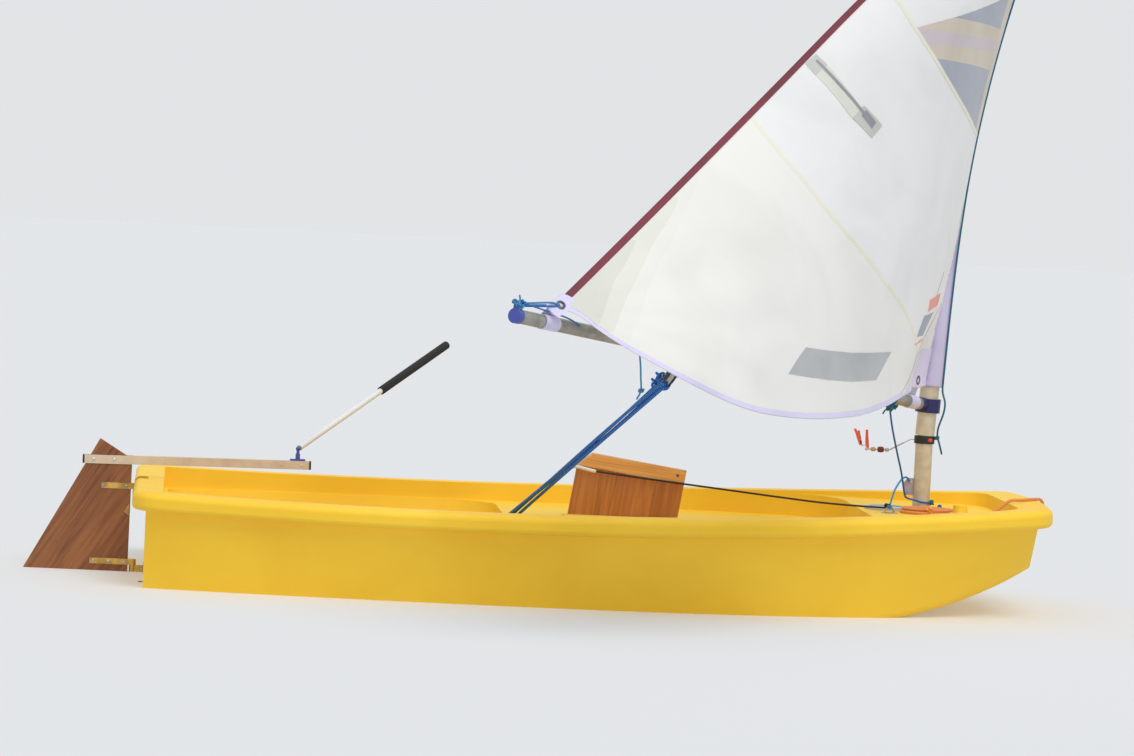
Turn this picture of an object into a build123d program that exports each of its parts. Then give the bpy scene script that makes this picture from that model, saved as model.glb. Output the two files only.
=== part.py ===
from build123d import *
import os
from math import asin, cos, hypot, pi, radians, sin, tan

os.makedirs("parts", exist_ok=True)

# Millimetres. +X is forward, +Y is to port, +Z is up.
# The origin is on the centreline amidships, at the waterline.

# Hull moulding
hull_length = 2360
hull_beam = 1124
stern_beam = 976
bow_beam = 640
bow_crown = 26
stern_corner = 72
bow_corner = 95
sheer_stern = 245
sheer_mid = 236
sheer_bow = 290
rim_height = 47
rim_overhang = 30
rim_width = 76
rim_round_top = 17
rim_round_bottom = 13
transom_inset = 35
chine_radius = 26
keel_radius = 400
stern_x = -hull_length / 2
bow_x = hull_length / 2
transom_x = stern_x + transom_inset
mast_x = bow_x - 317

# Inside of the hull
well_front = -212
well_draft = 12
well_aft_corner = 62
well_front_corner = 130
sole_aft = 18
sole_front = -34
deck_height = 187
thwart_aft = mast_x - 163
thwart_corner = 170
foredeck_height = 247
foredeck_flange = 100
foredeck_corner = 90
notch_width = 80
boss_x = mast_x + 104
boss_diameter = 42
boss_height = 20

# Daggerboard and its case
board_rake = 8
board_width = 283
board_thick = 14
board_below = 950
board_top_x = 98
board_top_z = 301
case_end_gap = 0.3
case_side_gap = 1.5
case_lip_height = 12
case_lip_wall = 14
cheek_height = 36
cheek_thick = 12
cheek_slant = 35
cheek_lift = 8

# Rudder, tiller and extension
pintle_x = transom_x - 31
rudder_lead_x = pintle_x - 12
rudder_thick = 14
rudder_apex = (pintle_x - 96, 340)
rudder_lead_top = 290
rudder_widest = (pintle_x - 311, -60)
rudder_foot = -400
strap_height = 15
strap_plate = 2
upper_strap_z = 220.5
lower_strap_z = 25
upper_strap_end = pintle_x - 88
lower_strap_end = pintle_x - 110
pin_diameter = 8
pin_drop = 34
knuckle_diameter = 15
gudgeon_height = 17
gudgeon_plate = (3, 46, 34)
gudgeon_arm = 9
pivot_gap = 0.3
tiller_aft = pintle_x - 134
tiller_front = pintle_x + 442
tiller_size = 22
tiller_wall = 2
tiller_z = 290
tiller_slope = 0.8
head_gap = 0.5
plug_thick = 5
plug_spigot = 4

extension_x = tiller_front - 30
extension_heading = 53.9
extension_rise = 21.0
extension_length = 729
extension_diameter = 15
grip_length = 333
grip_diameter = 22
grip_cap = 5
stem_diameter = 12
stem_ball = 12
pivot_height = 26
base_length = 40
base_width = 18
base_thick = 4.5

# Mast
mast_joint = 444
lower_mast_diameter = 45
upper_mast_diameter = 50
mast_top = 2140
mast_heading = -20
fit_gap = 0.3
step_depth = 197
step_hole = 54
collar_flange = 63
collar_thick = 5
step_cup = 12
mast_plug_height = 9
mast_wall = 2
joint_rise = 2
band_height = 20
band_diameter = 53
cleat_low = 288
cleat_tall = 44
cleat_reach = 26
cleat_thick = 5

# Height on the mast, and its lean there in degrees from the vertical
mast_leans = [
    (mast_joint, 3.2),
    (720, 3.2),
    (1000, 5.4),
    (1700, 16.9),
    (mast_top, 16.9),
]

# Boom and sail
gooseneck_z = 524
boom_angle = 53
boom_rise = 6.93
boom_length = 2018
boom_diameter = 32
boom_start = 52
cap_diameter = 35
cap_length = 18
cap_edge = 2
ear_hole = 5
ear_size = (12, 18)
ear_hole_at = 23.5
jaw_height = 36
jaw_wall = 7
jaw_gap = 36
boom_wall = 2
strap_thick = 1.5
clew_strap_at = 1845
clew_strap_width = 60
tack_strap_at = 74
tack_strap_width = 45
block_at = 1290
bail_width = 18
bail_drop = 34
block_diameter = 42
block_width = 20
sail_thick = 2
sail_camber = 0.13
head_height = 2092

# Height on the mast, and how far round it from the boom's side the cloth leaves its sleeve
wrap_turns = [(600, 0), (1100, 100), (1500, 100), (1900, 60), (head_height, 30)]
sleeve_foot = 574
sleeve_thick = 1.2
clew = (1830, 787)
leech_middle = (1123, 1237)
foot_middle = (950, 541)
tack = (120, 566)
head_width = 60
sail_heights = (470, 600, 700, 800, 900, 1000, 1100, 1250, 1400, 1550, 1700, 1800, 1900, 2000)
sail_step = 40

# Wind vane
vane_x = mast_x - 151
vane_straight = 60
vane_foot = 403
vane_wire = 4
vane_ball = 9
vane_height = 48
vane_flag = 38

# Deck fittings
hatch_x = mast_x - 90
hatch_diameter = 115
hatch_ring_height = 9
hatch_cover_diameter = 92
hatch_cover_height = 6
drain_y = -260
drain_z = -12
drain_diameter = 28
drain_reach = 12
eye_at = (mast_x - 101, -122)
eye_size = (44, 16, 3)
eye_loop = 18
eye_wire = 5

# Blocks, straps and cordage
floor_block_x = -300
floor_block_z = 88
floor_block_diameter = 52
floor_block_width = 24
block_neck = 6
flange_diameter = 48
flange_thick = 4
post_diameter = 16
toe_strap_y = 150
toe_strap_width = 50
toe_strap_thick = 3
toe_strap_lift = 45
cord_diameter = 8
coil_inner = 24
coil_outer = 48
coil_height = 16
coil_round = 7.5
painter_coil_at = (mast_x + 17, -92)
sheet_coil_at = (-540, 2)

foredeck_front = bow_x - foredeck_flange


def save(builder, label):
    builder.part.label = label
    export_step(builder.part, "parts/" + label + ".step")


def sheer(x):
    # A circle through the three sheer heights is this parabola to a tenth of a millimetre
    slope = (sheer_bow - sheer_stern) / hull_length
    hollow = (sheer_bow + sheer_stern - 2 * sheer_mid) / 2 / bow_x**2
    return sheer_mid + slope * x + hollow * x * x


def rim_half(x):
    end_beam = bow_beam if x > 0 else stern_beam
    return hull_beam / 2 - (hull_beam - end_beam) / 2 * (x / bow_x) ** 2


# Plan of the rim: four long arcs, a straight stern and a crowned bow
with BuildSketch(Plane.XY) as rim_outline:
    with BuildLine():
        for side in (1, -1):
            middle = (0, side * hull_beam / 2)
            stern_end = (stern_x, side * stern_beam / 2)
            bow_end = (bow_x - bow_crown, side * bow_beam / 2)
            TangentArc(middle, stern_end, tangent=(-1, 0))
            TangentArc(middle, bow_end, tangent=(1, 0))
        Line((stern_x, stern_beam / 2), (stern_x, -stern_beam / 2))
        ThreePointArc((bow_x - bow_crown, bow_beam / 2), (bow_x, 0), (bow_x - bow_crown, -bow_beam / 2))
    make_face()

with BuildSketch(Plane.XY) as rim_plan:
    add(rim_outline.sketch)
    fillet(rim_plan.vertices().group_by(Axis.X)[0], stern_corner)
    fillet(rim_plan.vertices().group_by(Axis.X)[-1], bow_corner)

with BuildSketch(Plane.XY) as inner_plan:
    add(rim_outline.sketch)
    offset(amount=-rim_width, kind=Kind.INTERSECTION)

# Foredeck recess, lower deck and well, each cut down from above the sheer
cut_top = sheer_bow + 60
with BuildPart() as foredeck_void:
    with BuildSketch(Plane.XY.offset(foredeck_height)) as foredeck_plan:
        add(inner_plan.sketch)
        split(bisect_by=Plane.YZ.offset(foredeck_front), keep=Keep.BOTTOM)
        fillet(foredeck_plan.vertices().group_by(Axis.X)[-1], foredeck_corner)
    extrude(amount=cut_top - foredeck_height)

with BuildPart() as deck_void:
    with BuildSketch(Plane.XY.offset(deck_height)) as deck_plan:
        add(inner_plan.sketch)
        split(bisect_by=Plane.YZ.offset(thwart_aft), keep=Keep.BOTTOM)
        fillet(deck_plan.vertices().group_by(Axis.X)[-1], thwart_corner)
    extrude(amount=cut_top - deck_height)

with BuildPart() as well_void:
    with BuildSketch(Plane.XY.offset(sheer_mid)) as well_plan:
        add(inner_plan.sketch)
        split(bisect_by=Plane.YZ.offset(well_front), keep=Keep.BOTTOM)
        fillet(well_plan.vertices().group_by(Axis.X)[0], well_aft_corner)
        fillet(well_plan.vertices().group_by(Axis.X)[-1], well_front_corner)
    extrude(amount=sole_front - sheer_mid - 10, taper=well_draft)
    extrude(well_plan.sketch, amount=cut_top - sheer_mid)
    with BuildSketch(Plane.XZ):
        with BuildLine():
            Polyline(
                (stern_x, sole_aft),
                (well_front + 10, sole_front),
                (well_front + 10, cut_top),
                (stern_x, cut_top),
                close=True,
            )
        make_face()
    extrude(amount=hull_beam, both=True, mode=Mode.INTERSECT)

# Rim band, between the sheer and the rim's lower edge
with BuildPart() as rim_band:
    with BuildSketch(Plane.XY):
        add(rim_plan.sketch)
    extrude(amount=cut_top)
    with BuildSketch(Plane.XZ):
        with BuildLine():
            top_line = ThreePointArc((stern_x - 10, sheer(stern_x - 10)), (0, sheer(0)), (bow_x + 10, sheer(bow_x + 10)))
            low_line = ThreePointArc(
                (stern_x - 10, sheer(stern_x - 10) - rim_height),
                (0, sheer(0) - rim_height),
                (bow_x + 10, sheer(bow_x + 10) - rim_height),
            )
            Line(top_line @ 0, low_line @ 0)
            Line(top_line @ 1, low_line @ 1)
        make_face()
    extrude(amount=hull_beam, both=True, mode=Mode.INTERSECT)
    broad_faces = rim_band.faces().sort_by(SortBy.AREA)[-2:].sort_by(Axis.Z)
    fillet(broad_faces[0].edges(), rim_round_bottom)
    broad_faces = rim_band.faces().sort_by(SortBy.AREA)[-2:].sort_by(Axis.Z)
    fillet(broad_faces[1].edges(), rim_round_top)

board_u = (cos(radians(board_rake)), 0, -sin(radians(board_rake)))
board_plane = Plane(origin=(board_top_x, 0, board_top_z), x_dir=board_u, z_dir=(0, -1, 0))

# Hull body: distance from amidships, half width at the chine, heights of chine and keel line
hull_stations = [
    (transom_x, 405, -20, -34),
    (stern_x + 580, 452, -58, -76),
    (0, 462, -70, -90),
    (bow_x - 580, 395, -32, -48),
    (bow_x - 230, 285, 50, 38),
    (bow_x - 60, 205, 128, 120),
]
with BuildPart() as hull:
    for x, chine_half, chine_z, keel_z in hull_stations:
        side_half = rim_half(x) - rim_overhang
        side_top = sheer(x) - rim_height / 2
        with BuildSketch(Plane.YZ.offset(x)):
            with BuildLine():
                skin = FilletPolyline(
                    (-side_half, side_top),
                    (-chine_half, chine_z),
                    (0, keel_z),
                    (chine_half, chine_z),
                    (side_half, side_top),
                    radius=[chine_radius, keel_radius, chine_radius],
                )
                Line(skin @ 1, skin @ 0)
            make_face()
    loft()
    add(rim_band.part)
    add(foredeck_void.part, mode=Mode.SUBTRACT)
    add(deck_void.part, mode=Mode.SUBTRACT)
    add(well_void.part, mode=Mode.SUBTRACT)
    # Raised lip round the daggerboard case, then the case itself
    case_x = board_top_x - (board_top_z - deck_height) * tan(radians(board_rake))
    case_length = (board_width + 2 * case_end_gap) / cos(radians(board_rake))
    with BuildSketch(Plane.XY.offset(deck_height)):
        with Locations((case_x, 0)):
            SlotOverall(case_length + 2 * case_lip_wall, board_thick + 2 * (case_side_gap + case_lip_wall))
    extrude(amount=case_lip_height)
    with BuildSketch(board_plane):
        Rectangle(board_width + 2 * case_end_gap, 2 * board_below)
    extrude(amount=board_thick / 2 + case_side_gap, both=True, mode=Mode.SUBTRACT)
    # Notch in the rim for the rudder
    with BuildSketch(Plane.XY.offset(sheer_stern - 2 * rim_height)):
        with Locations((stern_x, 0)):
            Rectangle(2 * transom_inset, notch_width)
    extrude(amount=3 * rim_height, mode=Mode.SUBTRACT)
    # Moulded boss on the foredeck
    with BuildSketch(Plane.XY.offset(foredeck_height)):
        with Locations((boss_x, 0)):
            Circle(boss_diameter / 2)
    extrude(amount=boss_height, taper=10)
    # Mast hole
    with BuildSketch(Plane.XY.offset(foredeck_height)):
        with Locations((mast_x, 0)):
            Circle(step_hole / 2)
    extrude(amount=-step_depth, mode=Mode.SUBTRACT)
print("hull", round(hull.part.volume / 1e9, 4), "m3", hull.part.is_valid)
save(hull, "hull")

# Gudgeons on the transom and pintle straps on the rudder, as height of the strap and its aft end
strap_places = {
    "upper": (upper_strap_z, upper_strap_end),
    "lower": (lower_strap_z, lower_strap_end),
}
plate_thick, plate_width, plate_tall = gudgeon_plate
for place, (strap_z, strap_end) in strap_places.items():
    strap_foot = strap_z - strap_height / 2
    gudgeon_foot = strap_foot - fit_gap - gudgeon_height
    with BuildPart() as gudgeon:
        with BuildSketch(Plane.XY.offset(gudgeon_foot)):
            with Locations(((pintle_x + transom_x) / 2, 0)):
                Rectangle(transom_x - pintle_x, gudgeon_arm)
            with Locations((pintle_x, 0)):
                Circle(knuckle_diameter / 2)
        extrude(amount=gudgeon_height)
        with BuildSketch(Plane.YZ.offset(transom_x)):
            with Locations((0, gudgeon_foot + gudgeon_height / 2)):
                RectangleRounded(plate_width, plate_tall, 5)
        extrude(amount=-plate_thick)
        with BuildSketch(Plane.XY.offset(gudgeon_foot)):
            with Locations((pintle_x, 0)):
                Circle(pin_diameter / 2 + pivot_gap)
        extrude(amount=gudgeon_height, mode=Mode.SUBTRACT)
    save(gudgeon, "gudgeon_" + place)

    with BuildPart() as pintle:
        with BuildSketch(Plane.XY.offset(strap_foot)):
            for side in (1, -1):
                with Locations(((strap_end + rudder_lead_x) / 2, side * (rudder_thick + strap_plate) / 2)):
                    Rectangle(rudder_lead_x - strap_end, strap_plate)
            with Locations(((pintle_x + rudder_lead_x) / 2, 0)):
                Rectangle(pintle_x - rudder_lead_x, rudder_thick + 2 * strap_plate)
            with Locations((pintle_x, 0)):
                Circle(rudder_thick / 2 + strap_plate)
        extrude(amount=strap_height)
        with BuildSketch(Plane.XY.offset(strap_foot)):
            with Locations((pintle_x, 0)):
                Circle(pin_diameter / 2)
        extrude(amount=-pin_drop)
    save(pintle, "pintle_" + place)

# Rudder blade, a flat board with a rounded foot
trail_slope = (rudder_apex[0] - rudder_widest[0]) / (rudder_apex[1] - rudder_widest[1])
with BuildPart() as rudder_blade:
    with BuildSketch(Plane.XZ) as blade_outline:
        with BuildLine():
            Polyline(
                (rudder_lead_x, rudder_lead_top),
                rudder_apex,
                rudder_widest,
                (rudder_widest[0] + 14, rudder_foot + 60),
                (rudder_widest[0] + 60, rudder_foot),
                (rudder_lead_x - 40, rudder_foot),
                (rudder_lead_x, rudder_foot + 90),
                close=True,
            )
        make_face()
        foot_corners = blade_outline.vertices().filter_by_position(Axis.Y, rudder_foot - 1, rudder_widest[1] + 1)
        fillet(foot_corners, 30)
    extrude(amount=rudder_thick / 2, both=True)
save(rudder_blade, "rudder_blade")

# Tiller: a box tube cut through for the rudder head, plugged at both ends
tiller_length = (tiller_front - tiller_aft) / cos(radians(tiller_slope))
tiller_middle = (tiller_aft + tiller_front) / 2
tiller_u = (cos(radians(tiller_slope)), 0, sin(radians(tiller_slope)))
tiller_plane = Plane(origin=(tiller_middle, 0, tiller_z), x_dir=tiller_u, z_dir=(0, -1, 0))
tiller_bottom = tiller_z + (rudder_apex[0] - tiller_middle) * tan(radians(tiller_slope)) - tiller_size / 2
head_trail_x = rudder_apex[0] - (rudder_apex[1] - tiller_bottom) * trail_slope
slot_aft = head_trail_x - 4 * head_gap
slot_front = rudder_lead_x + 4 * head_gap
with BuildPart() as tiller:
    with BuildSketch(tiller_plane):
        Rectangle(tiller_length, tiller_size)
    extrude(amount=tiller_size / 2, both=True)
    with BuildSketch(tiller_plane):
        Rectangle(tiller_length, tiller_size - 2 * tiller_wall)
    extrude(amount=tiller_size / 2 - tiller_wall, both=True, mode=Mode.SUBTRACT)
    with BuildSketch(Plane.XZ):
        with Locations(((slot_aft + slot_front) / 2, tiller_z)):
            Rectangle(slot_front - slot_aft, 3 * tiller_size)
    extrude(amount=rudder_thick / 2 + head_gap, both=True, mode=Mode.SUBTRACT)
save(tiller, "tiller")

with BuildPart() as tiller_plugs:
    for end in (-1, 1):
        end_plane = Plane(
            origin=tiller_plane.from_local_coords((end * tiller_length / 2, 0, 0)),
            x_dir=(0, 1, 0),
            z_dir=tuple(end * value for value in tiller_u),
        )
        with BuildSketch(end_plane):
            RectangleRounded(tiller_size, tiller_size, 3)
        extrude(amount=plug_thick)
        with BuildSketch(end_plane):
            Rectangle(tiller_size - 2 * tiller_wall, tiller_size - 2 * tiller_wall)
        extrude(amount=-plug_spigot)
save(tiller_plugs, "tiller_plugs")

# Universal joint and extension
tiller_top = tiller_z + (extension_x - tiller_middle) * tan(radians(tiller_slope))
tiller_top += tiller_size / 2 / cos(radians(tiller_slope))
base_plane = Plane(origin=(extension_x, 0, tiller_top), x_dir=tiller_u, z_dir=(-tiller_u[2], 0, tiller_u[0]))
with BuildPart() as extension_base:
    with BuildSketch(base_plane):
        SlotOverall(base_length, base_width)
    extrude(amount=base_thick)
save(extension_base, "extension_base")

stem_foot = tiller_top + base_thick + 2 * fit_gap
pivot = (extension_x, 0, stem_foot + pivot_height)
with BuildPart() as extension_stem:
    with BuildSketch(Plane.XY.offset(stem_foot)):
        with Locations((extension_x, 0)):
            Circle(stem_diameter / 2)
    extrude(amount=pivot_height / 2)
    with BuildSketch(Plane.XY.offset(stem_foot)):
        with Locations((extension_x, 0)):
            Circle(stem_diameter / 3)
    extrude(amount=pivot_height)
    with Locations(pivot):
        Sphere(stem_ball / 2)
save(extension_stem, "extension_stem")

heading = radians(extension_heading)
rise = radians(extension_rise)
extension_dir = (cos(heading) * cos(rise), sin(heading) * cos(rise), sin(rise))
extension_plane = Plane(origin=pivot, x_dir=(sin(heading), -cos(heading), 0), z_dir=extension_dir)
tube_start = stem_ball / 2 + fit_gap
with BuildPart() as extension_tube:
    with BuildSketch(extension_plane.offset(tube_start)):
        Circle(extension_diameter / 2)
    extrude(amount=extension_length - tube_start - grip_cap)
save(extension_tube, "extension_tube")

with BuildPart() as extension_grip:
    with BuildSketch(extension_plane.offset(extension_length - grip_length)):
        Circle(grip_diameter / 2)
    extrude(amount=grip_length)
    fillet(extension_grip.edges().filter_by(GeomType.CIRCLE), 3)
    with BuildSketch(extension_plane.offset(extension_length - grip_length)):
        Circle(extension_diameter / 2)
    extrude(amount=grip_length - grip_cap, mode=Mode.SUBTRACT)
save(extension_grip, "extension_grip")

# Daggerboard, raked in its case, with a cheek on each side of its head
board_half = board_width / 2
with BuildPart() as daggerboard:
    with BuildSketch(board_plane) as board_outline:
        with BuildLine():
            Polyline(
                (-board_half, -board_below),
                (-board_half, cheek_lift),
                (-board_half + cheek_slant, cheek_lift + cheek_height),
                (board_half, cheek_lift + cheek_height),
                (board_half, -board_below),
                close=True,
            )
        make_face()
        fillet(board_outline.vertices().group_by(Axis.Y)[0], 45)
    extrude(amount=board_thick / 2, both=True)
save(daggerboard, "daggerboard")

for place, side in (("port", -1), ("starboard", 1)):
    with BuildPart() as cheek:
        with BuildSketch(board_plane.offset(side * board_thick / 2)) as cheek_outline:
            with BuildLine():
                Polyline(
                    (-board_half, cheek_lift),
                    (-board_half + cheek_slant, cheek_lift + cheek_height),
                    (board_half - 2, cheek_lift + cheek_height),
                    (board_half - 2, cheek_lift),
                    close=True,
                )
            make_face()
            fillet(cheek_outline.vertices().group_by(Axis.X)[-1], 8)
        extrude(amount=side * cheek_thick)
    save(cheek, "cheek_" + place)

# Mast: a straight lower tube in its step and a bent upper tube
mast_radius = upper_mast_diameter / 2
lower_radius = lower_mast_diameter / 2
mast_u = (cos(radians(mast_heading)), sin(radians(mast_heading)), 0)
bend_plane = Plane(origin=(mast_x, 0, 0), x_dir=mast_u, z_dir=(mast_u[1], -mast_u[0], 0))


def mast_drift(z):
    # How far the mast has bent away from the vertical at height z, and its lean there
    drift = 0
    for (low, low_lean), (high, high_lean) in zip(mast_leans, mast_leans[1:]):
        top = min(z, high)
        start, end = sin(radians(low_lean)), sin(radians(high_lean))
        lean = asin(start + (end - start) * (top - low) / (high - low))
        if high_lean == low_lean:
            drift += (top - low) * tan(lean)
        else:
            drift += (high - low) / (end - start) * (cos(radians(low_lean)) - cos(lean))
        if z <= high:
            break
    return drift, lean


def mast_point(z):
    drift = mast_drift(z)[0]
    return Vector(mast_x + drift * mast_u[0], drift * mast_u[1], z)


def mast_line(low, high):
    # Lines and tangent arcs along the mast between two heights
    heights = [low] + [z for z, _ in mast_leans if low < z < high] + [high]
    with BuildLine(bend_plane) as line:
        for start, end in zip(heights, heights[1:]):
            start_drift, start_lean = mast_drift(start)
            end_drift, end_lean = mast_drift(end)
            middle = (start + end) / 2
            if abs(end_lean - start_lean) < 1e-6:
                Line((start_drift, start), (end_drift, end))
            else:
                ThreePointArc((start_drift, start), (mast_drift(middle)[0], middle), (end_drift, end))
    return line.wire()


def mast_tube(low, high, outer, inner):
    path = mast_line(low, high)
    start_plane = Plane(origin=path @ 0, z_dir=path % 0)
    with BuildPart() as tube:
        with BuildSketch(start_plane):
            Circle(outer)
        sweep(path=path)
        if inner:
            with BuildSketch(start_plane):
                Circle(inner)
            sweep(path=path, mode=Mode.SUBTRACT)
    return tube


def upright(height, outer, amount, label, inner=0, x=mast_x, y=0):
    # A plain upright disc or ring
    with BuildPart() as piece:
        with BuildSketch(Plane.XY.offset(height)):
            with Locations((x, y)):
                Circle(outer)
                if inner:
                    Circle(inner, mode=Mode.SUBTRACT)
        extrude(amount=amount)
    save(piece, label)


step_floor = foredeck_height - step_depth
with BuildPart() as mast_step:
    with BuildSketch(Plane.XY.offset(step_floor)):
        with Locations((mast_x, 0)):
            Circle(step_hole / 2 - fit_gap)
    extrude(amount=4 * step_cup)
    with BuildSketch(Plane.XY.offset(step_floor + step_cup)):
        with Locations((mast_x, 0)):
            Circle(lower_radius + fit_gap)
    extrude(amount=4 * step_cup, mode=Mode.SUBTRACT)
save(mast_step, "mast_step")

with BuildPart() as mast_collar:
    with BuildSketch(Plane.XY.offset(foredeck_height)):
        with Locations((mast_x, 0)):
            Circle(collar_flange / 2)
    extrude(amount=collar_thick)
    with BuildSketch(Plane.XY.offset(foredeck_height)):
        with Locations((mast_x, 0)):
            Circle(step_hole / 2 - fit_gap)
    extrude(amount=-3 * collar_thick)
    with BuildSketch(Plane.XY.offset(foredeck_height - 4 * collar_thick)):
        with Locations((mast_x, 0)):
            Circle(lower_radius + fit_gap)
    extrude(amount=6 * collar_thick, mode=Mode.SUBTRACT)
save(mast_collar, "mast_collar")

mast_base = step_floor + step_cup + fit_gap
tube_base = mast_base + mast_plug_height
upright(mast_base, lower_radius, mast_plug_height, "mast_foot")
upright(tube_base, lower_radius, mast_joint - tube_base, "mast_lower", inner=lower_radius - mast_wall)
upright(mast_joint - band_height, band_diameter / 2, band_height, "mast_band", inner=lower_radius + fit_gap)
mast_upper = mast_tube(mast_joint + joint_rise, mast_top, mast_radius, 0)
save(mast_upper, "mast_upper")

# Plate with a cleat on the aft side of the mast, for the line that holds the boom down
with BuildPart() as mast_cleat:
    with BuildSketch(Plane.XZ):
        with BuildLine():
            cleat_root = mast_x - lower_radius - fit_gap
            Polyline(
                (cleat_root, cleat_low),
                (cleat_root, cleat_low + cleat_tall),
                (cleat_root - cleat_reach * 0.6, cleat_low + cleat_tall),
                (cleat_root - cleat_reach, cleat_low + cleat_tall * 0.7),
                (cleat_root - cleat_reach * 0.7, cleat_low),
                close=True,
            )
        make_face()
    extrude(amount=cleat_thick / 2, both=True)
save(mast_cleat, "mast_cleat")

# Boom and its fittings, square to the boom's own direction
boom_side = radians(180 + boom_angle)
boom_c = (cos(boom_side), sin(boom_side))
boom_root = mast_point(gooseneck_z)
boom_dir = (
    boom_c[0] * cos(radians(boom_rise)),
    boom_c[1] * cos(radians(boom_rise)),
    sin(radians(boom_rise)),
)
boom_plane = Plane(origin=boom_root, x_dir=(-boom_c[1], boom_c[0], 0), z_dir=boom_dir)
tube_end = boom_length - cap_length
boom_radius = boom_diameter / 2


def boom_ring(start, width, inner, outer, label):
    with BuildPart() as ring:
        with BuildSketch(boom_plane.offset(start)):
            Circle(outer)
            Circle(inner, mode=Mode.SUBTRACT)
        extrude(amount=width)
    save(ring, label)


web_inner = boom_radius + fit_gap
boom_ring(boom_start, tube_end - boom_start, boom_radius - boom_wall, boom_radius, "boom")
boom_ring(clew_strap_at, clew_strap_width, web_inner, web_inner + strap_thick, "clew_strap")
boom_ring(tack_strap_at, tack_strap_width, web_inner, web_inner + strap_thick, "tack_strap")

with BuildPart() as boom_cap:
    with BuildSketch(boom_plane.offset(tube_end)):
        Circle(cap_diameter / 2)
    extrude(amount=cap_length)
    cap_rims = boom_cap.edges().filter_by(GeomType.CIRCLE)
    fillet(cap_rims.sort_by(Axis(boom_root, boom_dir))[-1], cap_edge)
    with BuildSketch(boom_plane.offset(tube_end - 18)):
        Circle(boom_radius - boom_wall)
    extrude(amount=18)
    with BuildSketch(boom_plane.offset(tube_end + 4)):
        with Locations((0, ear_hole_at - ear_size[1] / 4)):
            RectangleRounded(*ear_size, 4)
    extrude(amount=12)
    with BuildSketch(boom_plane.offset(tube_end + 4)):
        with Locations((0, ear_hole_at)):
            Circle(ear_hole / 2)
    extrude(amount=12, mode=Mode.SUBTRACT)
save(boom_cap, "boom_cap")

lean_here = mast_drift(gooseneck_z)[1]
mast_axis = (mast_u[0] * sin(lean_here), mast_u[1] * sin(lean_here), cos(lean_here))
across = Vector(boom_c[1], -boom_c[0], 0)
jaw_plane = Plane(origin=boom_root, x_dir=Vector(*mast_axis).cross(across), z_dir=mast_axis)
jaw_inner = mast_radius + fit_gap
jaw_outer = jaw_inner + jaw_wall
with BuildPart() as boom_jaw:
    with BuildSketch(jaw_plane.offset(-jaw_height / 2)):
        Circle(jaw_outer)
    extrude(amount=jaw_height)
    with BuildSketch(boom_plane.offset(mast_radius)):
        Circle(boom_radius + 1)
    extrude(amount=boom_start - mast_radius)
    with BuildSketch(boom_plane.offset(boom_start)):
        Circle(boom_radius - boom_wall)
    extrude(amount=24)
    with BuildSketch(jaw_plane.offset(-jaw_height)):
        Circle(jaw_inner)
        with Locations((-jaw_outer, 0)):
            Rectangle(jaw_outer, jaw_gap)
    extrude(amount=2 * jaw_height, mode=Mode.SUBTRACT)
save(boom_jaw, "boom_jaw")

with BuildPart() as boom_bail:
    with BuildSketch(boom_plane.offset(block_at - bail_width / 2)):
        Circle(web_inner + 2)
        with Locations((0, -boom_radius - bail_drop / 2)):
            Rectangle(6, bail_drop)
        Circle(web_inner, mode=Mode.SUBTRACT)
    extrude(amount=bail_width)
save(boom_bail, "boom_bail")

block_plane = Plane(
    origin=boom_plane.from_local_coords((0, -boom_radius - bail_drop, block_at)),
    x_dir=boom_dir,
    z_dir=(boom_c[1], -boom_c[0], 0),
)
with BuildPart() as boom_block:
    with BuildSketch(block_plane):
        with Locations((0, -block_diameter / 2)):
            Circle(block_diameter / 2)
        with Locations((0, -block_diameter / 4)):
            Rectangle(block_diameter / 2, block_diameter / 2)
    extrude(amount=block_width / 2, both=True)
save(boom_block, "boom_block")

# Sail: a cambered cloth from the luff sleeve to the leech, cut along its foot
foil_plane = Plane(origin=(mast_x, 0, 0), x_dir=(boom_c[0], boom_c[1], 0), z_dir=(boom_c[1], -boom_c[0], 0))
lee = (sin(radians(boom_angle)), -cos(radians(boom_angle)))


def reach_of(point):
    # Distance from the foot of the mast, measured along the boom's heading
    return (point.X - mast_x) * boom_c[0] + point.Y * boom_c[1]


def leech_reach(z):
    # A parabola through the clew, the leech's middle point and the head
    head = reach_of(mast_point(head_height)) + head_width
    first = (leech_middle[0] - clew[0]) / (leech_middle[1] - clew[1])
    second = (head - leech_middle[0]) / (head_height - leech_middle[1])
    curve = (second - first) / (head_height - clew[1])
    return clew[0] + first * (z - clew[1]) + curve * (z - clew[1]) * (z - leech_middle[1])


def sail_point(z, reach, bow):
    luff = mast_point(z)
    return (luff.X + boom_c[0] * reach + lee[0] * bow, luff.Y + boom_c[1] * reach + lee[1] * bow)


def wrap_angle(z):
    # The cloth leaves the sleeve on its aft side at the foot and on its lee side higher up
    for (low, low_turn), (high, high_turn) in zip(wrap_turns, wrap_turns[1:]):
        if z <= high:
            share = max(z - low, 0) / (high - low)
            break
    return radians(low_turn + share * (high_turn - low_turn))


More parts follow.
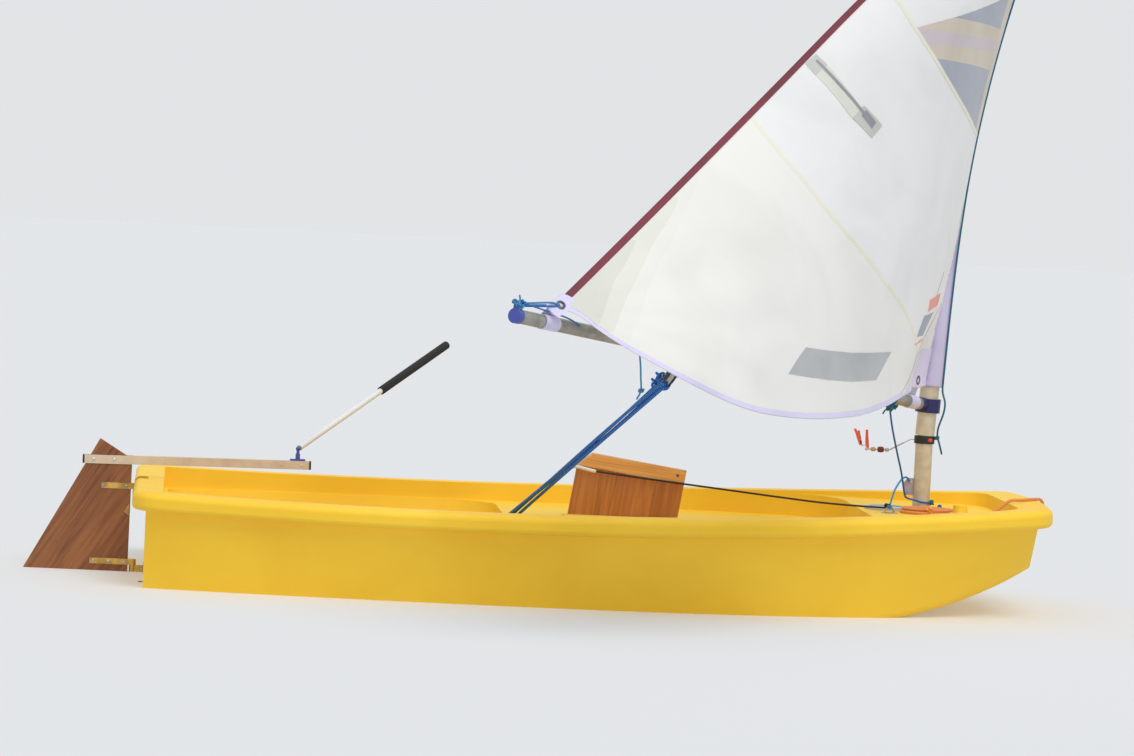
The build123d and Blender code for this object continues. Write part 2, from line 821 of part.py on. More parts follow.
section_heights = [z for z in sail_heights if z < head_height - sail_step] + [head_height]
with BuildPart() as sail:
    for z in section_heights:
        sleeve_out = mast_radius + sleeve_thick + 5 * fit_gap
        end = leech_reach(z) - reach_of(mast_point(z))
        turn = wrap_angle(z)
        start, lift = sleeve_out * cos(turn), sleeve_out * sin(turn)
        outer_start, outer_lift = (sleeve_out + sail_thick) * cos(turn), (sleeve_out + sail_thick) * sin(turn)
        middle = (start + end) / 2
        depth = sail_camber * (end - start) + lift / 2
        with BuildSketch(Plane.XY.offset(z)):
            with BuildLine():
                inside = ThreePointArc(
                    sail_point(z, start, lift),
                    sail_point(z, middle, depth),
                    sail_point(z, end, 0),
                )
                outside = ThreePointArc(
                    sail_point(z, outer_start, outer_lift + sail_thick * cos(turn)),
                    sail_point(z, middle, depth + sail_thick),
                    sail_point(z, end, sail_thick),
                )
                Line(inside @ 1, outside @ 1)
                Line(inside @ 0, outside @ 0)
            make_face()
    loft()
    cut_aft, cut_fore = clew[0] + boom_length / 2, -boom_length / 10
    with BuildSketch(foil_plane):
        with BuildLine():
            ThreePointArc(tack, foot_middle, clew)
            Polyline(clew, (cut_aft, clew[1]), (cut_aft, 0), (cut_fore, 0), (cut_fore, tack[1]), tack)
        make_face()
    extrude(amount=1000, both=True, mode=Mode.SUBTRACT)
save(sail, "sail")

sail_sleeve = mast_tube(sleeve_foot, mast_top, mast_radius + fit_gap + sleeve_thick, mast_radius + fit_gap)
save(sail_sleeve, "sail_sleeve")

# Wind vane on an arm from the mast band
arm_root_z = mast_joint - band_height / 2
with BuildPart() as vane_arm:
    with BuildLine() as arm_line:
        FilletPolyline(
            (mast_x - band_diameter / 2, 0, arm_root_z),
            (mast_x - band_diameter / 2 - vane_ball, 0, arm_root_z),
            (vane_x + vane_straight, 0, vane_foot),
            (vane_x, 0, vane_foot),
            radius=[vane_wire, 3 * vane_wire],
        )
    with BuildSketch(Plane(origin=arm_line.line @ 0, z_dir=arm_line.line % 0)):
        Circle(vane_wire / 2)
    sweep(path=arm_line.line)
    with Locations((vane_x, 0, vane_foot)):
        Sphere(vane_ball / 2)
save(vane_arm, "vane_arm")

vane_base = vane_foot + vane_ball / 2 + fit_gap
with BuildPart() as wind_vane:
    with BuildSketch(Plane.XY.offset(vane_base)):
        with Locations((vane_x, 0)):
            Circle(vane_wire)
    extrude(amount=vane_height)
    with BuildSketch(Plane.XZ):
        with Locations((vane_x - vane_flag / 2, vane_base + vane_height - 14)):
            Rectangle(vane_flag, 20)
    extrude(amount=1, both=True)
save(wind_vane, "wind_vane")

# Deck fittings
cover_radius = hatch_cover_diameter / 2
upright(foredeck_height, hatch_diameter / 2, hatch_ring_height, "hatch_ring", inner=cover_radius + fit_gap, x=hatch_x)
upright(foredeck_height, cover_radius, hatch_cover_height, "hatch_cover", x=hatch_x)

with BuildPart() as transom_drain:
    with BuildSketch(Plane.YZ.offset(transom_x)):
        with Locations((drain_y, drain_z)):
            Circle(drain_diameter / 2)
    extrude(amount=-drain_reach)
save(transom_drain, "transom_drain")


def eye_strap(plane, label):
    # A flat pad with a bent wire loop standing on it
    pad_length, pad_width, pad_thick = eye_size
    with BuildPart() as strap:
        with BuildSketch(plane):
            SlotOverall(pad_length, pad_width)
        extrude(amount=pad_thick)
        with BuildSketch(Plane(origin=plane.origin, x_dir=plane.x_dir, z_dir=-plane.y_dir)):
            with Locations((0, pad_thick)):
                Circle(eye_loop / 2 + eye_wire)
                Circle(eye_loop / 2, mode=Mode.SUBTRACT)
                Rectangle(3 * eye_loop, 2 * eye_loop, align=(Align.CENTER, Align.MAX), mode=Mode.SUBTRACT)
        extrude(amount=eye_wire / 2, both=True)
    save(strap, label)


eye_strap(Plane(origin=(*eye_at, foredeck_height), x_dir=(1, 0, 0), z_dir=(0, 0, 1)), "deck_eye")

# Sole of the well, a plane that falls forward
sole_slope = (sole_front - sole_aft) / (well_front + 10 - stern_x)


def sole_height(x):
    return sole_aft + (x - stern_x) * sole_slope


def sole_plane(x, y, lift=0):
    length = hypot(1, sole_slope)
    return Plane(
        origin=(x, y, sole_height(x) + lift),
        x_dir=(1 / length, 0, sole_slope / length),
        z_dir=(-sole_slope / length, 0, 1 / length),
    )


# The bow eye sits on the flat band of the rim's front face
bow_eye_z = sheer_bow - (rim_height - rim_round_bottom + rim_round_top) / 2
eye_strap(Plane(origin=(bow_x, 0, bow_eye_z), x_dir=(0, 1, 0), z_dir=(1, 0, 0)), "bow_eye")

# Block for the sheet, on a post in the middle of the well
block_foot = floor_block_z - floor_block_diameter / 2 - block_neck
with BuildPart() as block_base:
    with BuildSketch(sole_plane(floor_block_x, 0)):
        Circle(flange_diameter / 2)
    extrude(amount=flange_thick)
    with BuildSketch(Plane.XY.offset(block_foot)):
        with Locations((floor_block_x, 0)):
            Circle(post_diameter / 2)
    extrude(amount=sole_height(floor_block_x) + flange_thick / 2 - block_foot)
save(block_base, "block_base")

with BuildPart() as floor_block:
    with BuildSketch(Plane.XZ):
        with Locations((floor_block_x, floor_block_z)):
            Circle(floor_block_diameter / 2)
        with Locations((floor_block_x, (floor_block_z + block_foot) / 2)):
            Rectangle(post_diameter + 4, floor_block_z - block_foot)
    extrude(amount=floor_block_width / 2, both=True)
save(floor_block, "floor_block")


def aft_wall(z):
    return stern_x + rim_width + (sheer_mid - z) * tan(radians(well_draft))


def fore_wall(z):
    return well_front - (sheer_mid - z) * tan(radians(well_draft))


# Toe straps, two webbing bands above the sole from the well's aft wall to its fore wall
with BuildPart() as toe_straps:
    for side in (1, -1):
        with BuildSketch(Plane.XZ.offset(side * toe_strap_y)):
            with BuildLine():
                aft_z = sole_aft + toe_strap_lift
                fore_z = sole_front + toe_strap_lift
                Polyline(
                    (aft_wall(aft_z) + fit_gap, aft_z),
                    (fore_wall(fore_z) - fit_gap, fore_z),
                    (fore_wall(fore_z + toe_strap_thick) - fit_gap, fore_z + toe_strap_thick),
                    (aft_wall(aft_z + toe_strap_thick) + fit_gap, aft_z + toe_strap_thick),
                    close=True,
                )
            make_face()
        extrude(amount=toe_strap_width / 2, both=True)
save(toe_straps, "toe_straps")


def coil(plane, label):
    # A hank of cord as one closed ring
    with BuildPart() as ring:
        with BuildSketch(plane):
            Circle(coil_outer)
            Circle(coil_inner, mode=Mode.SUBTRACT)
        extrude(amount=coil_height)
        fillet(ring.edges().filter_by(GeomType.CIRCLE), coil_round)
    save(ring, label)


def cord(points, label):
    # Straight runs joined by tangent arcs that take most of the shorter run on each side
    knots = [Vector(*point) for point in points]
    runs = [end - start for start, end in zip(knots, knots[1:])]
    radii = []
    for before, after in zip(runs, runs[1:]):
        shorter = min(before.length, after.length)
        radii.append(0.45 * shorter / tan(radians(before.get_angle(after) / 2)))
    print(label, [round(radius) for radius in radii])
    with BuildPart() as rope:
        with BuildLine() as path:
            FilletPolyline(*points, radius=radii)
        with BuildSketch(Plane(origin=path.line @ 0, z_dir=path.line % 0)):
            Circle(cord_diameter / 2)
        sweep(path=path.line)
    print(label, rope.part.is_valid, round(rope.part.volume / (pi * cord_diameter**2 / 4 * path.wire().length), 4))
    save(rope, label)


coil_middle = (coil_inner + coil_outer) / 2
painter_x, painter_y = painter_coil_at
coil(Plane(origin=(painter_x, painter_y, foredeck_height + fit_gap), z_dir=(0, 0, 1)), "painter_coil")

# Painter: from the coil over the foredeck and the bow rim, down through the bow eye
rope_radius = cord_diameter / 2
eye_drop_x = bow_x + eye_size[2] + rope_radius + fit_gap
painter_points = [
    (painter_x, painter_y - coil_middle, foredeck_height + coil_height / 2),
    (bow_x - 250, -127, foredeck_height + 5),
    (bow_x - 202, -116, foredeck_height + 4.8),
    (bow_x - 158, -106, foredeck_height + 6),
    (bow_x - 122, -96, foredeck_height + 25),
    (bow_x - 100, -84, sheer(bow_x - 100) + 9.5),
    (bow_x - 64, -60, sheer(bow_x - 64) + 5.5),
    (bow_x - 30, -28, sheer(bow_x - 30) + 5),
    (eye_drop_x, 0, sheer_bow + 3),
    (eye_drop_x, 0, bow_eye_z - 7),
]
cord(painter_points, "painter")

sheet_x, sheet_y = sheet_coil_at
coil(sole_plane(sheet_x, sheet_y, fit_gap), "mainsheet_coil")

# Tail of the sheet, from its block down to the coil on the sole: x, y and height above the sole
tail_points = [
    (floor_block_x - 16, 0, floor_block_z + 30),
    (-348, 5, 108),
    (-376, 12, 72),
    (-396, 20, 34),
    (-426, 30, 8),
    (-466, 36, 5.2),
    (-508, 38.6, 6),
    (sheet_x, sheet_y + coil_middle, coil_height / 2),
]
cord([(x, y, sole_height(x) + lift) for x, y, lift in tail_points], "mainsheet_tail")
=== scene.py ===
from math import asin, atan2, ceil, cos, hypot, pi, radians, sin, sqrt, tan

import bmesh
import bpy
from mathutils import Matrix, Vector, noise


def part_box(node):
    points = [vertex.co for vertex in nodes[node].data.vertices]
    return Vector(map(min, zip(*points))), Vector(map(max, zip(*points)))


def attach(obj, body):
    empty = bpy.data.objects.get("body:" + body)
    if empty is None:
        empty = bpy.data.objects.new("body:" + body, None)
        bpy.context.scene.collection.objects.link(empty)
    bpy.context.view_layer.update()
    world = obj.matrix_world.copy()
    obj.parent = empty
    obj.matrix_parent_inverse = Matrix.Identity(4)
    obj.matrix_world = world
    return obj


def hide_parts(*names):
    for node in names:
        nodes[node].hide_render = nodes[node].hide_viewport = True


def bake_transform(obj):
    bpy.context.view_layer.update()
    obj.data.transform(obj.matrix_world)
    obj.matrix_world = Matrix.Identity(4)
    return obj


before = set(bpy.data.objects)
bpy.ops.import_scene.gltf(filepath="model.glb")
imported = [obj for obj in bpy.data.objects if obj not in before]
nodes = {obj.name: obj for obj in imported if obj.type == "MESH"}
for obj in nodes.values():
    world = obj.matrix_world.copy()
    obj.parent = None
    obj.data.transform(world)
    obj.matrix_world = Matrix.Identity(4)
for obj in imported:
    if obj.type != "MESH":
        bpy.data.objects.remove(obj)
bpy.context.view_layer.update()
scene = bpy.context.scene
scene.view_settings.view_transform = "Standard"


# Camera, from a fit of the boat to the photograph
camera = {"place": (-1.0826, -12.0, 1.1654), "turn": 4.782, "down": 2.922, "roll": 2.936, "lens": 147.894}


def addCamera():
    turn, down, roll = (radians(camera[k]) for k in ("turn", "down", "roll"))
    ahead = Vector((sin(turn) * cos(down), cos(turn) * cos(down), -sin(down)))
    level = Vector((cos(turn), -sin(turn), 0))
    lifted = level.cross(ahead)
    right = level * cos(roll) + lifted * sin(roll)
    above = lifted * cos(roll) - level * sin(roll)
    data = bpy.data.cameras.new("camera")
    data.lens = camera["lens"]
    data.sensor_width = 36
    data.clip_end = 200
    eye = bpy.data.objects.new("camera", data)
    scene.collection.objects.link(eye)
    eye.matrix_world = Matrix((
        (right.x, above.x, -ahead.x, camera["place"][0]),
        (right.y, above.y, -ahead.y, camera["place"][1]),
        (right.z, above.z, -ahead.z, camera["place"][2]),
        (0, 0, 0, 1),
    ))
    scene.camera = eye


addCamera()
print("camera set")


# Finishes
def colour(red, green, blue):
    # A colour as it looks on a screen, 0 to 255, for a shader
    return tuple(((c / 255 + 0.055) / 1.055) ** 2.4 if c > 10 else c / 3295 for c in (red, green, blue)) + (1,)


def newFinish(name, base, roughness, metallic=0.0, coat=0.0, sheen=0.0, specular=0.5):
    material = bpy.data.materials.new(name)
    material.use_nodes = True
    shader = material.node_tree.nodes["Principled BSDF"]
    shader.inputs["Base Color"].default_value = colour(*base)
    shader.inputs["Roughness"].default_value = roughness
    shader.inputs["Metallic"].default_value = metallic
    shader.inputs["Coat Weight"].default_value = coat
    shader.inputs["Coat Roughness"].default_value = 0.12
    shader.inputs["Sheen Weight"].default_value = sheen
    shader.inputs["Specular IOR Level"].default_value = specular
    material.diffuse_color = colour(*base)
    return material, material.node_tree, shader


def placed(tree, source, scale, turn=(0, 0, 0)):
    # Coordinates of the piece for a pattern: turned first, then multiplied by the scale
    coordinates = tree.nodes.new("ShaderNodeTexCoord")
    mapping = tree.nodes.new("ShaderNodeMapping")
    mapping.vector_type = "TEXTURE"
    mapping.inputs["Scale"].default_value = [1 / s for s in scale]
    mapping.inputs["Rotation"].default_value = [radians(a) for a in turn]
    tree.links.new(coordinates.outputs[source], mapping.inputs["Vector"])
    return mapping.outputs["Vector"]


def noiseFrom(tree, vector, scale, detail=4, distortion=0.0):
    texture = tree.nodes.new("ShaderNodeTexNoise")
    texture.inputs["Scale"].default_value = scale
    texture.inputs["Detail"].default_value = detail
    texture.inputs["Distortion"].default_value = distortion
    tree.links.new(vector, texture.inputs["Vector"])
    return texture.outputs["Fac"]


def rampFrom(tree, value, stops):
    ramp = tree.nodes.new("ShaderNodeValToRGB")
    tree.links.new(value, ramp.inputs["Fac"])
    points = ramp.color_ramp.elements
    while len(points) < len(stops):
        points.new(0.5)
    for point, (place, shade) in zip(points, stops):
        point.position = place
        point.color = colour(*shade)
    return ramp.outputs["Color"]


def rangeFrom(tree, value, low, high, start=0.3, end=0.7):
    span = tree.nodes.new("ShaderNodeMapRange")
    span.inputs["From Min"].default_value = start
    span.inputs["From Max"].default_value = end
    span.inputs["To Min"].default_value = low
    span.inputs["To Max"].default_value = high
    tree.links.new(value, span.inputs["Value"])
    return span.outputs["Result"]


def bumpTo(tree, shader, height, strength, distance):
    bump = tree.nodes.new("ShaderNodeBump")
    bump.inputs["Strength"].default_value = strength
    bump.inputs["Distance"].default_value = distance
    tree.links.new(height, bump.inputs["Height"])
    tree.links.new(bump.outputs["Normal"], shader.inputs["Normal"])


def mouldedPlastic(name, low, high, roughness, grain=900, wear=0.12, specular=0.5):
    # Moulded plastic: broad change of tone, fine orange peel and hair scuffs
    material, tree, shader = newFinish(name, high, roughness, specular=specular)
    broad = noiseFrom(tree, placed(tree, "Object", (1, 1, 1)), 3.2, 5, 0.6)
    tree.links.new(rampFrom(tree, broad, [(0.32, low), (0.68, high)]), shader.inputs["Base Color"])
    scuffs = noiseFrom(tree, placed(tree, "Object", (4, 40, 40), (8, 0, 14)), 6, 6)
    tree.links.new(rangeFrom(tree, scuffs, roughness - wear / 2, roughness + wear), shader.inputs["Roughness"])
    peel = noiseFrom(tree, placed(tree, "Object", (1, 1, 1)), grain, 2)
    bumpTo(tree, shader, peel, 0.12, 0.0004)
    return material


def brushedMetal(name, low, high, roughness, along=(1, 60, 60), turn=(0, 0, 0), metallic=0.9):
    # Drawn or brushed metal: lines along the part, small spots of tarnish
    material, tree, shader = newFinish(name, high, roughness, metallic)
    lines = noiseFrom(tree, placed(tree, "Object", along, turn), 14, 5)
    spots = noiseFrom(tree, placed(tree, "Object", (1, 1, 1)), 38, 6)
    tree.links.new(rampFrom(tree, spots, [(0.35, low), (0.62, high)]), shader.inputs["Base Color"])
    tree.links.new(rangeFrom(tree, lines, roughness - 0.07, roughness + 0.12), shader.inputs["Roughness"])
    bumpTo(tree, shader, lines, 0.08, 0.0003)
    return material


def varnishedWood(name, dark, mid, light, turn, stretch=26.0, scale=2.4, coat=0.12):
    # Rotary-cut plywood face: long wandering figure, short dark pores, under varnish
    material, tree, shader = newFinish(name, mid, 0.42, coat=coat)
    grain = placed(tree, "Object", (1.2, stretch / 3, stretch), turn)
    figure = noiseFrom(tree, grain, scale, 7, 1.4)
    tone = rampFrom(tree, figure, [(0.28, dark), (0.5, mid), (0.72, light)])
    pores = noiseFrom(tree, placed(tree, "Object", (22, 420, 420), turn), 3, 3)
    mixer = tree.nodes.new("ShaderNodeMix")
    mixer.data_type = "RGBA"
    mixer.inputs[7].default_value = colour(*dark)
    tree.links.new(rangeFrom(tree, pores, 0.55, 0.0, 0.28, 0.42), mixer.inputs["Factor"])
    tree.links.new(tone, mixer.inputs[6])
    tree.links.new(mixer.outputs[2], shader.inputs["Base Color"])
    tree.links.new(rangeFrom(tree, figure, 0.36, 0.52), shader.inputs["Roughness"])
    bumpTo(tree, shader, pores, 0.15, 0.0003)
    return material


def crossedWaves(tree, scale, distortion, turns, how):
    # Two sets of lines on the piece's own UV map, joined into one pattern
    crossing = tree.nodes.new("ShaderNodeMath")
    crossing.operation = how
    for number, turn in enumerate(turns):
        wave = tree.nodes.new("ShaderNodeTexWave")
        wave.inputs["Scale"].default_value = scale
        wave.inputs["Distortion"].default_value = distortion
        tree.links.new(placed(tree, "UV", (1, 1, 1), (0, 0, turn)), wave.inputs["Vector"])
        tree.links.new(wave.outputs["Fac"], crossing.inputs[number])
    return crossing.outputs[0]


def braidedRope(name, dark, base, crownHighlight):
    # Braid on the rope's own UV map, one unit to a turn round it: two sets of diagonal strands. Its colour runs from
    # painted shade in the grooves to a painted highlight on the strand crowns
    material, tree, shader = newFinish(name, base, 0.7, sheen=0.08, specular=0.3)
    weave = crossedWaves(tree, 1.35, 0.3, (-45, 45), "MULTIPLY")
    tree.links.new(rampFrom(tree, weave, [(0.02, dark), (0.3, base), (0.85, crownHighlight)]), shader.inputs["Base Color"])
    bumpTo(tree, shader, weave, 0.6, 0.0008)
    return material


def sailCloth(name, low, high, roughness=0.55, weave=900):
    # Resin-filled polyester on the cloth's own UV map in metres: fine weave, and painted shade of soft creases in its
    # tone
    material, tree, shader = newFinish(name, high, roughness, sheen=0.15)
    # Painted crease shade: a broad, faint change of tone
    broad = noiseFrom(tree, placed(tree, "UV", (1, 1, 1), (0, 0, 25)), 4.5, 6, 0.8)
    tree.links.new(rampFrom(tree, broad, [(0.3, low), (0.6, high)]), shader.inputs["Base Color"])
    bumpTo(tree, shader, crossedWaves(tree, weave / 2, 0.4, (0, 90), "ADD"), 0.12, 0.0002)
    return material


def wovenStrap(name, low, high):
    # Webbing on its own UV map in metres: ribs across the strap
    material, tree, shader = newFinish(name, high, 0.82, sheen=0.35)
    ribs = tree.nodes.new("ShaderNodeTexWave")
    ribs.inputs["Scale"].default_value = 220
    ribs.inputs["Distortion"].default_value = 0.6
    tree.links.new(placed(tree, "UV", (1, 0.35, 1), (0, 0, 90)), ribs.inputs["Vector"])
    dirt = noiseFrom(tree, placed(tree, "UV", (1, 1, 1)), 30, 5)
    tree.links.new(rampFrom(tree, dirt, [(0.3, low), (0.7, high)]), shader.inputs["Base Color"])
    bumpTo(tree, shader, ribs.outputs["Fac"], 0.45, 0.0005)
    return material


finishes = {
    "hull": mouldedPlastic("hullYellow", (243, 196, 48), (250, 206, 58), 0.5, 700, 0.1, 0.3),
    "black": mouldedPlastic("blackMoulding", (24, 24, 26), (38, 38, 42), 0.5),
    "hatch": mouldedPlastic("hatchGrey", (176, 176, 170), (205, 204, 198), 0.45),
    "blue": mouldedPlastic("blueMoulding", (62, 72, 150), (76, 90, 172), 0.4),
    "jaw": mouldedPlastic("jawBlue", (26, 24, 78), (38, 36, 98), 0.42),
    "grip": mouldedPlastic("gripFoam", (26, 26, 28), (44, 44, 46), 0.86, 2600, 0.08),
    "whiteTube": mouldedPlastic("whiteTube", (214, 214, 212), (236, 236, 234), 0.4),
    "greyTube": mouldedPlastic("greyTube", (168, 168, 170), (196, 196, 198), 0.45),
    "tan": mouldedPlastic("tanBall", (196, 156, 104), (216, 178, 124), 0.5),
    "brown": mouldedPlastic("brownEnd", (104, 34, 24), (128, 48, 34), 0.55),
    "red": mouldedPlastic("redOval", (206, 60, 40), (228, 78, 54), 0.45),
    "vaneOrange": mouldedPlastic("vaneOrange", (242, 92, 58), (252, 112, 78), 0.55),
    "elastic": mouldedPlastic("elasticBlack", (30, 28, 30), (56, 52, 50), 0.75, 1800),
    "brass": brushedMetal("strapBrass", (176, 140, 70), (222, 184, 104), 0.36, (1, 40, 40)),
    "steel": brushedMetal("fittingSteel", (150, 150, 152), (206, 206, 208), 0.28, (20, 20, 20)),
    # Eyelet steel: the same steel darkened, painted shade of the rings
    "shadedSteel": brushedMetal("ringSteelShaded", (74, 72, 76), (112, 110, 114), 0.32, (20, 20, 20)),
    "mast": brushedMetal("mastAlloy", (196, 184, 158), (214, 202, 176), 0.46, (50, 50, 1), metallic=0.35),
    "boom": brushedMetal(
        "boomAlloy", (142, 140, 136), (164, 162, 156), 0.42, (1, 50, 50), (0, 6.93, 53), metallic=0.6
    ),
    "tiller": brushedMetal("tillerAlloy", (208, 188, 162), (218, 198, 172), 0.5, metallic=0.1),
    "cleat": brushedMetal("cleatAlloy", (150, 140, 150), (178, 170, 178), 0.5, metallic=0.5),
    "rudderWood": varnishedWood(
        "rudderWood", (98, 52, 22), (138, 82, 40), (160, 102, 54), (0, -57, 0)
    ),
    "rudderEdge": varnishedWood(
        "rudderEdge", (84, 40, 18), (112, 58, 28), (134, 74, 38), (0, -57, 0), 40
    ),
    "boardWood": varnishedWood(
        "boardWood", (152, 90, 38), (182, 112, 50), (200, 132, 66), (0, -82, 0)
    ),
    "cheekWood": varnishedWood(
        "cheekWood", (200, 134, 60), (224, 160, 78), (236, 180, 100), (0, 8, 0), 34
    ),
    # Ropes: groove shade, base and crown highlight colours, the first and last painted
    "blueRope": braidedRope("blueRope", (14, 58, 120), (36, 116, 206), (84, 168, 240)),
    "tealRope": braidedRope("tealRope", (16, 58, 78), (40, 114, 146), (80, 158, 184)),
    "skyRope": braidedRope("skyRope", (30, 92, 140), (62, 148, 204), (120, 190, 230)),
    "orangeRope": braidedRope("orangeRope", (196, 108, 46), (238, 156, 84), (250, 192, 130)),
    "cloth": sailCloth("sailWhite", (226, 225, 224), (233, 232, 231)),
    "warmCloth": sailCloth("sailWarm", (227, 225, 220), (234, 232, 227)),
    "cream": sailCloth("seamCream", (222, 220, 196), (232, 230, 210)),
    # Clew panels: each a step darker than the last, painted shade of the layered cloth
    "patchOne": sailCloth("patchPale", (224, 223, 216), (231, 230, 223)),
    "patchTwo": sailCloth("patchMiddle", (216, 215, 205), (224, 223, 213)),
    "patchThree": sailCloth("patchDeep", (207, 206, 196), (216, 215, 205)),
    "lilac": sailCloth("tapeLilac", (206, 200, 232), (220, 214, 242)),
    # Sleeve: lilac cloth darkened to lilac-grey, painted shade of the cloth wrapped round the mast
    "sleeve": sailCloth("sleeveLilacShade", (184, 178, 208), (200, 194, 222)),
    "maroon": sailCloth("leechMaroon", (98, 20, 38), (118, 28, 48)),
    "pocket": sailCloth("battenPocket", (206, 208, 196), (220, 221, 211)),
    "pocketEnd": sailCloth("pocketEnd", (184, 187, 180), (200, 203, 196)),
    "batten": sailCloth("battenShade", (138, 136, 144), (160, 158, 164)),
    "film": sailCloth("windowFilm", (158, 161, 163), (176, 179, 181), 0.25, 90),
    "greyBlue": sailCloth("panelGreyBlue", (154, 159, 172), (166, 171, 183)),
    "sand": sailCloth("panelSand", (196, 184, 164), (208, 197, 180)),
    "mauve": sailCloth("panelMauve", (192, 180, 184), (204, 193, 197)),
    "salmon": sailCloth("markSalmon", (222, 120, 108), (234, 136, 124)),
    "slate": sailCloth("markSlate", (122, 134, 152), (140, 150, 168)),
    "strap": wovenStrap("toeWebbing", (22, 22, 26), (40, 40, 44)),
    "paleStrap": wovenStrap("paleWebbing", (196, 190, 222), (218, 213, 240)),
    "stitch": wovenStrap("stitching", (200, 200, 204), (226, 226, 230)),
}
print("finishes made:", len(finishes))


# Small helpers for making pieces
def deselectAll():
    for thing in bpy.context.selected_objects:
        thing.select_set(False)


def newObject(name, data):
    thing = bpy.data.objects.new(name, data)
    scene.collection.objects.link(thing)
    return thing


def startPiece(name, points, edges, faces):
    # A new piece from its first points, selected whole in edit mode
    deselectAll()
    mesh = bpy.data.meshes.new(name)
    mesh.from_pydata([tuple(p) for p in points], edges, faces)
    piece = newObject(name, mesh)
    piece.select_set(True)
    bpy.context.view_layer.objects.active = piece
    bpy.ops.object.mode_set(mode="EDIT")
    bpy.ops.mesh.select_all(action="SELECT")
    return piece


def finishPiece(piece, body, finish, smooth=True, angle=None):
    # Puts the piece's place into its mesh, gives it its finish and its body
    deselectAll()
    piece.select_set(True)
    bpy.context.view_layer.objects.active = piece
    bpy.ops.object.transform_apply(location=True, rotation=True, scale=True)
    if not piece.data.materials:
        piece.data.materials.append(finishes[finish])
    if angle:
        bpy.ops.object.shade_smooth_by_angle(angle=radians(angle))
    elif smooth:
        bpy.ops.object.shade_smooth()
    piece.select_set(False)
    if body:
        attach(piece, body)
    return piece


def fromMesh(name, vertices, faces, uvs=None):
    mesh = bpy.data.meshes.new(name)
    mesh.from_pydata([tuple(v) for v in vertices], [], faces)
    if uvs:
        layer = mesh.uv_layers.new(name="UVMap")
        for loop in mesh.loops:
            layer.data[loop.index].uv = uvs[loop.vertex_index]
    mesh.validate()
    mesh.update()
    return newObject(name, mesh)


def outwards(piece, merge=0.0):
    # Faces of a closed piece pointed outwards, after its doubles are merged
    work = bmesh.new()
    work.from_mesh(piece.data)
    if merge:
        bmesh.ops.remove_doubles(work, verts=work.verts, dist=merge)
    bmesh.ops.recalc_face_normals(work, faces=work.faces)
    work.to_mesh(piece.data)
    work.free()
    return piece


def cutThrough(work, place, normal):
    # Cuts all of a mesh along a plane, and says what the cut made
    everything = work.verts[:] + work.edges[:] + work.faces[:]
    return bmesh.ops.bisect_plane(work, geom=everything, plane_co=place, plane_no=normal)


def strapPiece(name, rows, uvRows):
    # A flat closed strap from its rows: each has the points of the under side, then those of the top side
    wide = len(rows[0]) // 2
    vertices = [point for row in rows for point in row]
    uvs = [uv for row in uvRows for uv in row] if uvRows else None
    faces = []
    for i in range(len(rows) - 1):
        for c in range(2 * wide):
            if c != wide - 1 and c != 2 * wide - 1:
                a = i * 2 * wide + c
                faces.append((a, a + 1, a + 2 * wide + 1, a + 2 * wide))
        for c in (0, wide - 1):
            a = i * 2 * wide + c
            faces.append((a, a + 2 * wide, a + 3 * wide, a + wide))
    for i in (0, len(rows) - 1):
        for c in range(wide - 1):
            a = i * 2 * wide + c
            faces.append((a, a + 1, a + wide + 1, a + wide))
    return outwards(fromMesh(name, vertices, faces, uvs))


def splineLine(points, perSpan=10):
    # The smooth line that a rope lies on: a curve that keeps inside the corners of its points
    data = bpy.data.curves.new("line", "CURVE")
    data.dimensions = "3D"
    data.resolution_u = perSpan
    spline = data.splines.new("NURBS")
    spline.points.add(len(points) - 1)
    for control, point in zip(spline.points, points):
        control.co = (*point, 1)
    spline.order_u = 3
    spline.use_endpoint_u = True
    holder = newObject("line", data)
    bpy.context.view_layer.update()
    mesh = bpy.data.meshes.new_from_object(holder.evaluated_get(bpy.context.evaluated_depsgraph_get()))
    line = [v.co.copy() for v in mesh.vertices]
    bpy.data.objects.remove(holder)
    bpy.data.meshes.remove(mesh)
    return line


def tube(name, line, radius, sides=10):
    # A round tube along a line, with domed ends and a UV map of one unit to a turn round it
    steps = []
    for i, here in enumerate(line):
        before, after = line[max(i - 1, 0)], line[min(i + 1, len(line) - 1)]
        steps.append((after - before).normalized())
    side = steps[0].orthogonal().normalized()
    rings, along = [], 0.0
    for i, (here, step) in enumerate(zip(line, steps)):
        side = (side - step * side.dot(step)).normalized()
        across = step.cross(side)
        if i:
            along += (here - line[i - 1]).length
        rings.append((here, side.copy(), across, step, radius, along))
    for end, sign in ((0, -1), (-1, 1)):
        here, first, across, step, size, run = rings[end]
        extra = [
            (here + step * sign * radius * sin(a), first, across, step, radius * cos(a), run + sign * radius * sin(a))
            for a in (radians(35), radians(65))
        ]
        rings = extra[::-1] + rings if end == 0 else rings + extra
    vertices, uvs, faces = [], [], []
    turnLength = 2 * pi * radius
    for here, first, across, step, size, run in rings:
        for j in range(sides + 1):
            a = 2 * pi * j / sides
            vertices.append(here + first * cos(a) * size + across * sin(a) * size)
            uvs.append((j / sides, run / turnLength))
    for i in range(len(rings) - 1):
        for j in range(sides):
            a = i * (sides + 1) + j
            faces.append((a, a + 1, a + sides + 2, a + sides + 1))
    first, last = list(range(sides + 1)), list(range(len(vertices) - sides - 1, len(vertices)))
    faces.append(tuple(first[:-1][::-1]))
    faces.append(tuple(last[:-1]))
    return outwards(fromMesh(name, vertices, faces, uvs), radius * 0.01)


